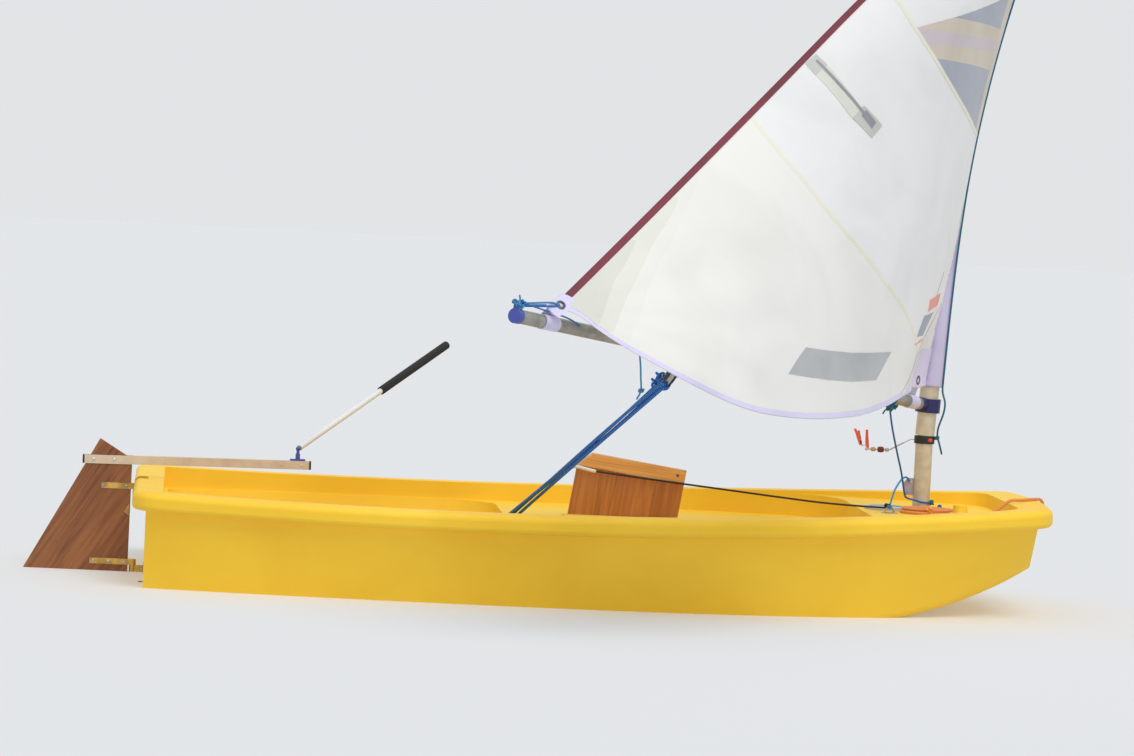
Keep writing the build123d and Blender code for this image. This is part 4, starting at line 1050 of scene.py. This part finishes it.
def makeSleeve():
    # Two skins and a turned hem at each end; small wrinkles run along the cloth
    rows, around = sleeve["rows"], sleeve["around"]
    front = radians(sleeve["front"])
    vertices, uvs, marks = [], [], []
    for skinSide in (0, 1):
        for i in range(rows + 1):
            z = sleeve["foot"] + (sleeve["top"] - sleeve["foot"]) * i / rows
            centre = mastPoint(z)
            lean = mastLean(z)[1]
            heading = radians(rig["heading"])
            along = Vector((sin(lean) * cos(heading), sin(lean) * sin(heading), cos(lean)))
            side = Vector((0, 1, 0)).cross(along).normalized()
            other = along.cross(side)
            for j in range(around):
                a = 2 * pi * j / around
                wrinkle = 0.0007 * noise.noise(Vector((cos(a) * 1.6, sin(a) * 1.6, z * 7)))
                hem = 0.0005 if 0.012 < z - sleeve["foot"] < 0.016 else 0
                slack = sleeve["loose"] * min(max((sleeve["looseTop"] - z) / 0.5, 0), 1)
                facing = side * cos(a) + other * sin(a)
                slack *= max(facing.x * cos(front) + facing.y * sin(front), 0)
                size = sleeve["radius"] + slack + (wrinkle - hem if skinSide == 0 else -0.0009)
                vertices.append(centre + (side * cos(a) + other * sin(a)) * size)
                uvs.append((a * sleeve["radius"], z))
                marks.append((side * cos(a) * sleeve["radius"]).x)
    step = (rows + 1) * around
    faces, kinds = [], []
    for i in range(rows):
        for j in range(around):
            a, b = i * around + j, i * around + (j + 1) % around
            faces.append((a, b, b + around, a + around))
            faces.append((step + a, step + a + around, step + b + around, step + b))
            z = sleeve["foot"] + (sleeve["top"] - sleeve["foot"]) * (i + 0.5) / rows
            # Forward faces low on the sleeve take the lilac-grey painted shade, the rest stays white
            white = marks[a] < alongTable(sleeve["edge"], z)
            kinds += [0 if white else 1, 1]
    for j in range(around):
        k = (j + 1) % around
        faces.append((j, step + j, step + k, k))
        top = rows * around
        faces.append((top + j, top + k, step + top + k, step + top + j))
        kinds += [1, 1]
    piece = fromMesh("luffSleeve", vertices, faces, uvs)
    for finish in ("cloth", "sleeve"):
        piece.data.materials.append(finishes[finish])
    for polygon, kind in zip(piece.data.polygons, kinds):
        polygon.material_index = kind
    outwards(piece)
    return piece


luffSleeve = finishPiece(makeSleeve(), "rig", "sleeve")
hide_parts("sail_sleeve")
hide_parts("sail")


def eyelet(name, reach, z, inner, outer, half):
    # A pressed ring through the cloth: its profile turned round the eyelet's own axis, in steel darkened with painted
    # shade
    here = sailSpot(reach, z)
    across = (sailSpot(reach + 0.01, z) - sailSpot(reach - 0.01, z)).normalized()
    up = (sailSpot(reach, z + 0.01) - sailSpot(reach, z - 0.01)).normalized()
    facing = across.cross(up).normalized()
    profile = [(inner, -half), (outer, 0.0004 - half), (outer + 0.0006, 0), (outer, half - 0.0004), (inner, half),
               (inner - 0.0014, 0), (inner, -half)]
    return finishPiece(turned(name, profile, here, facing), "rig", "shadedSteel", angle=50)


eyelet("clewEyelet", *clewCorner["eyelet"], 0.0062, 0.0112, clewCorner["lift"] + 0.0022)
eyelet("tackEyelet", 0.090, 0.592, 0.0075, 0.0122, 0.0034)
print("sleeve and eyelets done")


# Webbing loops that hold the sail's corners to the boom
webbing = {"radius": 0.0164, "thick": 0.0014, "tabHalf": 0.0009}


def webbingLoop(name, along, width, riser, taper):
    # A band round the boom whose two ends rise together to the sail's corner
    radius, thick = webbing["radius"], webbing["thick"]
    shares = [c / 6 - 0.5 for c in range(7)]
    rows, uvRows = [], []
    for i in range(33):
        a = radians(-250 + 320 * i / 32)
        rows.append([
            boomSpot(along + share * width, sin(a) * size, cos(a) * size)
            for size in (radius, radius + thick) for share in shares
        ])
        uvRows.append([(share * width, radius * radians(10) * i) for share in shares] * 2)
    band = strapPiece(name, rows, uvRows)
    finishPiece(band, "rig", "paleStrap", smooth=False)
    rows, uvRows = [], []
    for i in range(9):
        spots = []
        for share in shares:
            low = boomSpot(along + share * width, radius + thick * 0.5, -0.002)
            spots.append(low.lerp(Vector(riser) + Vector(rig["boomAlong"]) * share * width * taper, i / 8))
        sides = [Vector(rig["boomSide"]) * half for half in (-webbing["tabHalf"], webbing["tabHalf"])]
        rows.append([spot + aside for aside in sides for spot in spots])
        uvRows.append([(share * width, i * 0.01) for share in shares] * 2)
    finishPiece(strapPiece(name + "Tab", rows, uvRows), "rig", "paleStrap", smooth=False)
    return band


clewBand = webbingLoop("clewWebbing", 1.875, 0.060, sailSpot(1.874, 0.784), 0.5)
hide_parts("clew_strap")
tackBand = webbingLoop("tackWebbing", 0.0965, 0.045, sailSpot(0.090, 0.588), 0.6)
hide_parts("tack_strap")
print("corner webbing done")


# Blocks: two cheeks, a sheave with its groove, straps and pins
def makeBlock(name, centre, axle, up, radius, width, body, node, strapFinish):
    centre, axle, up = Vector(centre), Vector(axle).normalized(), Vector(up).normalized()
    across = up.cross(axle).normalized()
    made = []
    for sign in (-1, 1):
        outline = []
        for i in range(33):
            a = radians(-200 + 220 * i / 32)
            outline.append((radius * cos(a), radius * sin(a)))
        outline += [(radius * 0.62, radius * 0.98), (-radius * 0.62, radius * 0.98)]
        cheek = slab(name + "Cheek%d" % (sign + 2), outline, width * 0.2, centre + axle * sign * width * 0.4,
                     across, up, 0.0009)
        made.append(finishPiece(cheek, body, "black", angle=40))
        strapOutline = rounded(radius * 0.17, radius * 0.97, radius * 0.16)
        band = slab(name + "Strap%d" % (sign + 2), strapOutline, 0.0012, centre + axle * sign * (width * 0.5 + 0.0006),
                    across, up, 0.0004)
        finishPiece(band, body, strapFinish, angle=40)
        ring = turned(name + "Ring%d" % (sign + 2), [
            (radius * 0.30, 0.0004), (radius * 0.32, 0.0022), (radius * 0.52, 0.0022), (radius * 0.55, 0.0004),
            (radius * 0.30, 0.0004),
        ], centre + axle * sign * width * 0.5, axle * sign)
        finishPiece(ring, body, strapFinish, angle=40)
        for place in (-0.86, 0, 0.82):
            pin = bolt(name + "Pin%d%d" % (sign + 2, place * 100), centre + axle * sign * (width * 0.5 + 0.001)
                       + up * radius * place, axle * sign, radius * 0.11, 0.0022)
            finishPiece(pin, body, "steel", angle=40)
    groove = radius * 0.74
    rim = [(groove + 0.002, 0.27), (groove, 0.22), (groove - 0.004, 0.1)]
    profile = [(0.0012, -0.27)] + [(r, -h) for r, h in rim] + [(groove - 0.005, 0)] + rim[::-1]
    profile += [(0.0012, 0.27), (0.0012, -0.27)]
    wheel = turned(name + "Sheave", [(r, h * width) for r, h in profile], centre, axle)
    finishPiece(wheel, body, "hatch", angle=40)
    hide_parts(node)
    return made


floorBlock = {"centre": (-0.300, 0, 0.088), "radius": 0.026, "width": 0.024}
boomBlock = {"along": 1.290, "drop": -0.050, "hang": 0.034, "radius": 0.021, "width": 0.020}
blockHead = boomSpot(boomBlock["along"], boomBlock["drop"])
pull = (Vector(floorBlock["centre"]) - blockHead).normalized()
blockCentre = blockHead + pull * boomBlock["hang"]
blockAxle = (Vector(rig["boomSide"]) - pull * pull.dot(Vector(rig["boomSide"]))).normalized()
makeBlock("boomBlock", blockCentre, blockAxle, -pull, boomBlock["radius"], boomBlock["width"], "rig", "boom_block",
          "black")
makeBlock("floorBlock", floorBlock["centre"], (0, 1, 0), (0, 0, -1), floorBlock["radius"], floorBlock["width"],
          "hull", "floor_block", "steel")
print("blocks made")


# Running ropes under load: taut lines, each with its knots
def rope(name, points, radius, finish, body="rig", slotName="blue_rope", between=None, sides=9, perSpan=8):
    line = splineLine([tuple(p) for p in points], perSpan)
    piece = tube(name, line, radius, sides)
    if between:
        finishPiece(piece, None, finish)
        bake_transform(piece)
    else:
        finishPiece(piece, body, finish)
    return piece


def ropeKnot(name, place, towards, size, radius, finish, body):
    return finishPiece(knot(name, place, towards, size, radius), body, finish)


# Mainsheet: two parts round the boom block, one from its eye, all down to the floor block
sheet = {"radius": 0.0040, "sag": 0.004}
boomEnd, floorEnd = Vector(blockCentre), Vector(floorBlock["centre"])
run = (floorEnd - boomEnd).normalized()
cross = run.cross(Vector((0, 0, 1))).normalized()
upright = cross.cross(run).normalized()
sheetParts = [
    (0.0100, 0.000, 0.0240, 0.003, 0.0), (-0.0110, 0.000, -0.0040, 0.003, 0.0), (0.0035, 0.006, 0.0160, -0.006, 0.004),
    (-0.0040, -0.007, 0.0060, -0.005, -0.003),
]
for number, (upTop, sideTop, upLow, sideLow, twist) in enumerate(sheetParts):
    points = []
    for i in range(9):
        t = i / 8
        lift = upTop + (upLow - upTop) * t - sheet["sag"] * sin(pi * t) - 0.006 * sin(pi * t) * (1 if upTop > 0 else -1)
        aside = sideTop + (sideLow - sideTop) * t + twist * sin(pi * t * 2)
        points.append(boomEnd.lerp(floorEnd, t) + upright * lift + cross * aside)
    rope("mainsheet%d" % (number + 1), points, sheet["radius"], "blueRope",
         between=("hull", "rig", tuple(floorEnd), tuple(boomEnd)))
for number, (share, up) in enumerate(((0.030, 0.017), (0.052, 0.012), (0.012, -0.014))):
    place = boomEnd.lerp(floorEnd, share) + upright * up - cross * 0.006
    tie = knot("sheetKnot%d" % (number + 1), place, run, 0.0115, 0.0034)
    finishPiece(tie, "rig", "blueRope")


def boomTurn(along, radius, drift=0.0):
    # A turn of rope round the boom
    angles = [2 * pi * i / 14 for i in range(15)]
    return [boomSpot(along + drift * sin(a), radius * cos(a), radius * sin(a)) for a in angles]


# Thin line hanging from the boom to its own knot above the sheet
hanging = {"along": 1.468, "radius": 0.0021}
top = boomSpot(hanging["along"], -0.0155, 0.0)
drop = Vector((0.010, -0.006, -0.096))
foot = top + drop
rope("hangingLine", [top, top + drop * 0.35 + Vector((0.002, 0, 0)), top + drop * 0.7, foot], hanging["radius"],
     "skyRope")
ropeKnot("hangingKnot", foot, (0, 0, 1), 0.0065, 0.0019, "skyRope", "rig")
rope("hangingTail", [foot, foot + Vector((-0.004, 0, -0.010)), foot + Vector((-0.010, -0.002, -0.020))],
     hanging["radius"], "skyRope")
rope("hangingTurn", boomTurn(hanging["along"], 0.0182, 0.0005), hanging["radius"], "skyRope")

# Outhaul: three parts from the ear of the boom's end to the clew eyelet, knots on the ear, a thin tail
outhaul = {"radius": 0.0022, "ear": 2.010, "over": clewCorner["lift"] + layer + 0.0042}
clewEye = sailSpot(*clewCorner["eyelet"])
for number, (up, side, reach, height, lee) in enumerate((
    (0.029, 0.003, 1.870, 0.797, 1), (0.023, 0.004, 1.884, 0.788, 1), (0.024, -0.004, 1.884, 0.790, -1),
)):
    start = boomSpot(outhaul["ear"] - 0.006, up, side)
    over = outhaul["over"] * lee
    corner, rim = sailSpot(reach, height, over), sailSpot(1.860, 0.790 + 0.003 * (number == 0), over)
    rope("outhaul%d" % (number + 1), [start, start.lerp(corner, 0.5), corner, rim, clewEye + (rim - clewEye) * 0.4],
         outhaul["radius"], "skyRope" if number == 0 else "blueRope")
for number, (along, up, side) in enumerate(((0.012, 0.030, 0.004), (-0.012, 0.031, 0.005), (0.002, 0.023, 0.009))):
    ropeKnot("outhaulKnot%d" % (number + 1), boomSpot(outhaul["ear"] + along, up, side), (0.4, -0.3 * number, 1),
             0.0078, 0.0024, "blueRope" if number % 2 else "skyRope", "rig")
outhaulEnd = [(2.008, 0.032, 0.004), (2.006, 0.040, 0.004), (2.010, 0.046, 0.003)]
outhaulTail = [(1.998, 0.031, 0.006), (1.93, 0.026, 0.010), (1.88, 0.0225, 0.0115), (1.83, 0.0205, 0.012),
               (1.79, 0.014, 0.0155), (1.765, 0.007, 0.0170)]
rope("outhaulEnd", [boomSpot(*spot) for spot in outhaulEnd], 0.0020, "skyRope")
rope("outhaulTail", [boomSpot(*spot) for spot in outhaulTail], 0.0019, "blueRope")
print("mainsheet and outhaul rigged")

# Downhaul: a turn round the boom with its knot, down to the cleat plate, over it and across the mast
vang = {"radius": 0.0025, "along": 0.2055}
rope("downhaulTurn", boomTurn(vang["along"], 0.0186), vang["radius"], "tealRope")
boomKnot = boomSpot(vang["along"], -0.030, 0.0)
for number, (along, up, side) in enumerate(((0.0, 0.0, 0.0), (0.012, 0.006, 0.006), (-0.014, 0.008, 0.004))):
    ropeKnot("downhaulKnot%d" % (number + 1), boomSpot(vang["along"] + along, -0.030 + up, side),
             (0.3, 0.2, 1), 0.0085, 0.0024, "tealRope", "rig")
rope("downhaulEnd", [boomKnot, boomKnot + Vector((-0.012, -0.004, 0.002)), boomKnot + Vector((-0.018, -0.006, -0.012))],
     0.0022, "tealRope")
rope("downhaul", [
    boomKnot, (0.7462, -0.160, 0.5004), (0.7562, -0.140, 0.4634), (0.7855, -0.075, 0.3864), (0.7973, -0.055, 0.3556),
    (0.8081, -0.030, 0.3205), (0.8155, -0.016, 0.2918), (0.821, -0.0085, 0.2802), (0.8413, -0.0245, 0.2769),
    (0.8585, -0.0262, 0.2720), (0.8799, -0.0195, 0.2705), (0.889, -0.0135, 0.2705),
], vang["radius"], "blueRope")
eyeLow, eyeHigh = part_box("deck_eye")
eyeMiddle = (eyeLow + eyeHigh) / 2
eyeTop = Vector((eyeMiddle.x, eyeMiddle.y, eyeHigh.z))
rope("deckLeg", [
    eyeTop + Vector((0, 0, -0.004)), (0.7661, -0.112, 0.2755), (0.7773, -0.090, 0.3036), (0.7897, -0.065, 0.3188),
    (0.8043, -0.035, 0.332), (0.8169, -0.015, 0.3357), (0.8261, -0.007, 0.3308), (0.8284, -0.006, 0.3253),
], 0.0025, "skyRope", between=("hull", "rig", tuple(eyeTop), (0.8284, -0.006, 0.3253)))
ropeKnot("deckLegKnot", eyeTop + Vector((0, 0, -0.002)), (0, 0, 1), 0.0065, 0.0022, "skyRope", "hull")
ropeKnot("mastKnotOne", (0.889, -0.0135, 0.2705), (1, 0.4, 0), 0.0062, 0.0022, "tealRope", "rig")
ropeKnot("mastKnotTwo", (0.911, -0.0130, 0.2576), (1, -0.3, 0.2), 0.0074, 0.0024, "blueRope", "hull")
rope("mastTail", [
    (0.911, -0.0130, 0.2576), (0.920, -0.0145, 0.2545), (0.932, -0.0155, 0.2520), (0.9428, -0.014, 0.2518),
], 0.0023, "blueRope", "hull")

# Luff line: from the mast's head down the front of the sleeve, then by the boom's jaw to its last knot
luffLine = []
forward = Vector((cos(radians(-29)), sin(radians(-29)), 0))
for z in (2.128, 1.95, 1.75, 1.55, 1.35, 1.15, 0.95, 0.78, 0.66, 0.588):
    centre = mastPoint(z)
    away = 0.0300 + 0.0046 * min(max(sleeve["looseTop"] - z, 0) / 0.5, 1)
    luffLine.append(centre + forward * away)
luffLine += [(0.9005, -0.014, 0.560), (0.9090, -0.026, 0.535), (0.9060, -0.026, 0.505), (0.8950, -0.016, 0.470),
             (0.8935, -0.012, 0.446), (0.9010, -0.013, 0.425), (0.9080, -0.014, 0.400)]
rope("luffLine", luffLine, 0.0025, "tealRope", sides=8, perSpan=6)
ropeKnot("luffKnot", (0.8935, -0.012, 0.440), (0, 0, 1), 0.0060, 0.0020, "tealRope", "rig")

# Shock cord from the deck eye to the board's cheek, with its white sleeve
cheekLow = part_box("cheek_starboard")[0]
outer = cheekLow.y - 0.0028
elastic = {"radius": 0.0026}
elasticLine = [
    (*eyeTop.xy, eyeTop.z - 0.003), (0.640, -0.099, 0.2600), (0.450, -0.066, 0.2745), (0.3306, outer - 0.006, 0.2834),
    (0.2311, outer, 0.2919), (0.190, outer, 0.2960), (0.1211, outer, 0.3025), (0.060, outer, 0.3085),
    (0.0035, outer, 0.3141), (-0.0228, outer, 0.3194),
]
rope("shockCord", elasticLine, elastic["radius"], "elastic", slotName="webbing",
     between=("hull", "daggerboard", tuple(eyeTop), (0.250, outer, 0.290)))
sleeveLine = [(0.0035, outer, 0.3141), (-0.0115, outer, 0.3172), (-0.0228, outer, 0.3196), (-0.0400, outer, 0.3235),
              (-0.0500, outer + 0.002, 0.3240), (-0.0535, outer + 0.012, 0.3215)]
rope("shockSleeve", sleeveLine, 0.0046, "whiteTube", "daggerboard", "grey_plastic")
ropeKnot("shockKnot", eyeTop + Vector((-0.006, 0.002, 0.003)), (0.2, 0, 1), 0.0060, 0.0022, "elastic", "hull")
print("downhaul, luff line and shock cord rigged")


# Small fasteners
def boltRow(name, places, facing, radius, height, finish, body):
    for number, place in enumerate(places):
        piece = bolt(name + str(number + 1), place, facing, radius, height)
        finishPiece(piece, body, finish, angle=40)


for strapName, places in (("pintle_upper", (-1.2595, -1.200)), ("pintle_lower", (-1.278, -1.2375, -1.197))):
    low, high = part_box(strapName)
    strapMiddle = high.z - 0.008
    for sign in (-1, 1):
        where = [(x, (low.y if sign < 0 else high.y), strapMiddle) for x in places]
        tag = "Near" if sign < 0 else "Far"
        boltRow(strapName.replace("_", "") + tag, where, (0, sign, 0), 0.0042, 0.0028, "steel", "rudder")
for name in ("gudgeon_upper", "gudgeon_lower"):
    low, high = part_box(name)
    middle = (low.z + high.z) / 2
    plateHalf = (high.y - low.y) / 2
    boltRow(name.replace("_", "") + "Bolt", [(-1.1505, sign * plateHalf * 0.7, middle) for sign in (-1, 1)],
            (-1, 0, 0), 0.0044, 0.0028, "steel", "hull")


tillerLine = {"start": -1.022, "height": 0.290, "slope": 0.8}


def tillerMiddle(x):
    return tillerLine["height"] + (x - tillerLine["start"]) * tan(radians(tillerLine["slope"]))


for sign, tag in ((-1, "Near"), (1, "Far")):
    boltRow("tillerBolt" + tag, [(x, sign * 0.011, tillerMiddle(x)) for x in (-1.287, -1.234)], (0, sign, 0), 0.0048,
            0.0032, "steel", "rudder")
    boltRow("tillerRivet" + tag, [(x, sign * 0.011, tillerMiddle(x)) for x in (-0.805, -0.753)], (0, sign, 0), 0.0044,
            0.0020, "tiller", "rudder")
boltRow("cheekScrew", [(0.2203, cheekLow.y, 0.3122)], (0, -1, 0), 0.0036, 0.0014, "brown", "daggerboard")
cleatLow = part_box("mast_cleat")[0]
boltRow("cleatRivet", [(0.834, cleatLow.y, z) for z in (0.298, 0.322)], (0, -1, 0), 0.0026, 0.0016, "steel", "rig")
print("bolts and rivets set")

# Spring clip on the rudder's leading edge, above the lower strap
clip = {"place": (-1.195, -0.0094, 0.160)}
clipOutline = [(-0.0093, -0.0056), (0.002, -0.0136), (0.0065, -0.0135), (0.0050, 0.0157), (0.0015, 0.0120)]
clipPiece = slab("rudderClip", clipOutline, 0.0022, clip["place"], (1, 0, 0), (0, 0, 1), 0.0006)
finishPiece(clipPiece, "rudder", "brass", angle=40)
boltRow("clipScrew", [(-1.1987, -0.0105, 0.1546)], (0, -1, 0), 0.0028, 0.0018, "steel", "rudder")

# Red oval on the mast band, on the near side: three rings below its surface, three above
bandLow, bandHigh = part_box("mast_band")
bandMiddle = (bandLow.z + bandHigh.z) / 2
oval = {"steps": 28, "radius": 0.0266, "sunk": 0.0004, "crown": 0.0009, "facing": -62, "turn": 0.30, "high": 0.0052}
ovalPoints, ovalFaces = [], []
steps = oval["steps"]
for upper in (False, True):
    for share in (0.0, 0.55, 1.0):
        for i in range(steps):
            a = 2 * pi * i / steps
            turnBy = radians(oval["facing"]) + oval["turn"] * share * cos(a)
            size = oval["radius"] + (oval["crown"] * (1 - share ** 3) if upper else -oval["sunk"])
            height = bandMiddle + oval["high"] * share * sin(a)
            ovalPoints.append((rig["mastX"] + size * cos(turnBy), size * sin(turnBy), height))
for ring in (steps, 2 * steps):
    for i in range(steps):
        k = (i + 1) % steps
        quad = (ring + i, ring + k, ring - steps + k, ring - steps + i)
        ovalFaces.append(tuple(3 * steps + corner for corner in quad))
        ovalFaces.append(quad[::-1])
for i in range(steps):
    k = (i + 1) % steps
    ovalFaces.append((2 * steps + i, 2 * steps + k, 5 * steps + k, 5 * steps + i))
ovalPiece = outwards(fromMesh("bandOval", ovalPoints, ovalFaces), 0.00001)
finishPiece(ovalPiece, "rig", "red")


# Toe straps: flat webbing with a little sag, two rows of stitching at each end
toeStrap = {"apart": 0.300, "width": 0.0496, "half": 0.0007, "sag": 0.0022, "crown": 0.0006}


def makeToeStrap(name, y):
    low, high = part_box("toe_straps")
    aft, fore = (low.x + 0.002, high.z - 0.0015), (high.x - 0.002, low.z + 0.0015)
    shares = [c / 8 - 0.5 for c in range(9)]

    def spotAt(t):
        sag = 0.0004 * sin(34 * t) - toeStrap["sag"] * sin(pi * t)
        return aft[0] + (fore[0] - aft[0]) * t, aft[1] + (fore[1] - aft[1]) * t + sag

    rows, uvRows = [], []
    for i in range(61):
        t = i / 60
        x, z = spotAt(t)
        rows.append([
            (x, y + share * toeStrap["width"], z + toeStrap["crown"] * (1 - (2 * share) ** 2) * sin(pi * t) + half)
            for half in (-toeStrap["half"], toeStrap["half"]) for share in shares
        ])
        uvRows.append([(share * 0.05, t * 0.8) for share in shares] * 2)
    strap = finishPiece(strapPiece(name, rows, uvRows), "hull", "strap", smooth=False)
    for number, t in enumerate((0.035, 0.055, 0.945, 0.965)):
        x, z = spotAt(t)
        row = slab(name + "Stitch%d" % (number + 1), rounded(0.0006, 0.021, 0.0005, 2), 0.0005,
                   (x, y, z + 0.0010), (1, 0, 0), (0, 1, 0), 0)
        finishPiece(row, "hull", "stitch", smooth=False)
    return strap


portStrap = makeToeStrap("toeStrapPort", toeStrap["apart"] / 2)
makeToeStrap("toeStrapStarboard", -toeStrap["apart"] / 2)
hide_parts("toe_straps")
print("toe straps sewn")


# Wind vane: a bent wire on the joint's axis with three flared ribbons
vane = {"wire": 0.0011, "armHeight": 0.403}
wireLine = [(0.7127, 0, 0.4085), (0.7127, 0, 0.4125), (0.7090, 0, 0.4135), (0.7000, 0, 0.4100), (0.6965, 0, 0.4150),
            (0.6962, 0, 0.4240), (0.6960, 0, 0.4330)]
vaneWire = rope("vaneWire", wireLine, vane["wire"], "steel", "vane", "steel", sides=8)


def ribbon(name, foot, head, width, bow):
    foot, head = Vector(foot), Vector(head)
    step = (head - foot).normalized()
    across = Vector((1, 0.45, 0)).normalized()
    outward = step.cross(across)
    rows = []
    for i in range(15):
        t = i / 14
        middle = foot.lerp(head, t) + outward * bow * sin(pi * t)
        size = width * (0.5 + 0.08 * sin(5 * t))
        rows.append([middle + across * sign * size + outward * deep * 0.0003 for deep in (-1, 1) for sign in (-1, 1)])
    return finishPiece(strapPiece(name, rows, None), "vane", "vaneOrange", angle=60)


ribbon("vaneRibbonOne", (0.7150, 0.0, 0.4020), (0.7110, 0.0010, 0.4530), 0.0092, 0.0012)
ribbon("vaneRibbonTwo", (0.6970, -0.001, 0.4120), (0.6790, -0.0010, 0.4545), 0.0098, -0.0016)
ribbon("vaneRibbonThree", (0.6960, 0.0, 0.4150), (0.6895, 0.0, 0.4500), 0.0080, 0.0006)
tipPiece = turned("vaneTip", [(0.0002, 0), (0.0024, 0.001), (0.0027, 0.006), (0.0018, 0.009), (0.0002, 0.010)],
                  (0.6962, 0, 0.4150), (0, 0, 1), 20)
finishPiece(tipPiece, "vane", "black", angle=40)
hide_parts("wind_vane")
# Tube, brown end and tan bead on the arm: half a profile each, mirrored, and the place along the arm
armPieces = [
    ("vaneArmTube", [(0.0022, 0.0050), (0.0044, 0.0050), (0.0048, 0.0045)], 0.7660, "greyTube", "grey_plastic"),
    ("vaneArmEnd", [(0.0022, 0.0085), (0.0056, 0.0080), (0.0074, 0.0050), (0.0078, 0)], 0.7495, "brown", "rudder_wood"),
    ("vaneBead", [(0.0022, 0.0065), (0.0042, 0.0062), (0.0056, 0.0036), (0.0058, 0)], 0.7300, "tan", "grey_plastic"),
]
for name, half, x, finish, slotName in armPieces:
    profile = [(r, -h) for r, h in half] + [(r, h) for r, h in half[::-1] if h] + [(half[0][0], -half[0][1])]
    piece = turned(name, profile, (x, 0, vane["armHeight"]), (1, 0, 0), 28)
    finishPiece(piece, "rig", finish, angle=40)
print("wind vane made")


# Floor at the waterline, cut out round the hull, and a plain pale surround
stage = {"floor": (222, 223, 224), "reach": 40.0, "inset": 0.003}


def waterplane():
    # The hull's outline where the floor meets it, from a copy of its mesh cut at the waterline
    work = bmesh.new()
    work.from_mesh(nodes["hull"].data)
    cut = cutThrough(work, (0, 0, 0), (0, 0, 1))
    corners = [v.co for v in cut["geom_cut"] if isinstance(v, bmesh.types.BMVert)]
    points = sorted({(round(corner.x, 5), round(corner.y, 5)) for corner in corners})
    work.free()

    def half(ordered):
        chain = []
        for p in ordered:
            while len(chain) > 1 and (
                (chain[-1][0] - chain[-2][0]) * (p[1] - chain[-2][1])
                - (chain[-1][1] - chain[-2][1]) * (p[0] - chain[-2][0])
            ) <= 0:
                chain.pop()
            chain.append(p)
        return chain[:-1]

    return half(points) + half(points[::-1])


def makeFloor():
    outline = waterplane()
    cx = sum(p[0] for p in outline) / len(outline)
    inner = []
    for x, y in outline:
        away = Vector((x - cx, y)).normalized()
        inner.append(Vector((x, y)) - away * stage["inset"])
    vertices, faces = [], []
    rings = (0.0, 0.3, 1.5, 6.0, stage["reach"])
    for ring in rings:
        for point in inner:
            away = (point - Vector((cx, 0))).normalized()
            vertices.append((*(point + away * ring), 0))
    n = len(inner)
    for k in range(len(rings) - 1):
        for i in range(n):
            j = (i + 1) % n
            faces.append((k * n + i, (k + 1) * n + i, (k + 1) * n + j, k * n + j))
    return fromMesh("floor", vertices, faces)


def floorFinish():
    # A pale matt floor that is seen from above only
    material, tree, shader = newFinish("floorPale", stage["floor"], 0.95)
    shader.inputs["Specular IOR Level"].default_value = 0.1
    geometry = tree.nodes.new("ShaderNodeNewGeometry")
    clear = tree.nodes.new("ShaderNodeBsdfTransparent")
    mixer = tree.nodes.new("ShaderNodeMixShader")
    out = tree.nodes["Material Output"]
    tree.links.new(geometry.outputs["Backfacing"], mixer.inputs["Fac"])
    tree.links.new(shader.outputs["BSDF"], mixer.inputs[1])
    tree.links.new(clear.outputs["BSDF"], mixer.inputs[2])
    tree.links.new(mixer.outputs["Shader"], out.inputs["Surface"])
    return material


floor = makeFloor()
floor.data.materials.append(floorFinish())


def addSun(name, strength, spread, bearing, height, tint=(1, 1, 1), shadow=True):
    data = bpy.data.lights.new(name, "SUN")
    data.use_shadow = shadow
    data.energy = strength
    data.angle = radians(spread)
    data.color = tint
    lamp = newObject(name, data)
    away = Vector((sin(radians(bearing)) * cos(radians(height)), -cos(radians(bearing)) * cos(radians(height)),
                   sin(radians(height))))
    lamp.rotation_mode = "QUATERNION"
    lamp.rotation_quaternion = (-away).to_track_quat("-Z", "Y")


addSun("keyLight", strength=0.90, spread=34, bearing=26, height=53, tint=(1, 0.985, 0.96))
addSun("overheadLight", strength=1.15, spread=60, bearing=-5, height=66, shadow=False)
world = bpy.data.worlds.new("surround")
scene.world = world
world.use_nodes = True
worldNodes, worldLinks = world.node_tree.nodes, world.node_tree.links
backdrop = worldNodes["Background"]
backdrop.inputs["Color"].default_value = (0.86, 0.9, 0.95, 1)
backdrop.inputs["Strength"].default_value = 0.57
shown = worldNodes.new("ShaderNodeBackground")
shown.inputs["Color"].default_value = colour(226, 228, 230)
shown.inputs["Strength"].default_value = 1.0
path = worldNodes.new("ShaderNodeLightPath")
seen = path.outputs["Is Camera Ray"]
for ray in ("Is Transmission Ray", "Is Glossy Ray"):
    either = worldNodes.new("ShaderNodeMath")
    either.operation = "MAXIMUM"
    worldLinks.new(seen, either.inputs[0])
    worldLinks.new(path.outputs[ray], either.inputs[1])
    seen = either.outputs[0]
choice = worldNodes.new("ShaderNodeMixShader")
worldLinks.new(seen, choice.inputs["Fac"])
worldLinks.new(backdrop.outputs["Background"], choice.inputs[1])
worldLinks.new(shown.outputs["Background"], choice.inputs[2])
worldLinks.new(choice.outputs["Shader"], worldNodes["World Output"].inputs["Surface"])
print("floor and lights set")
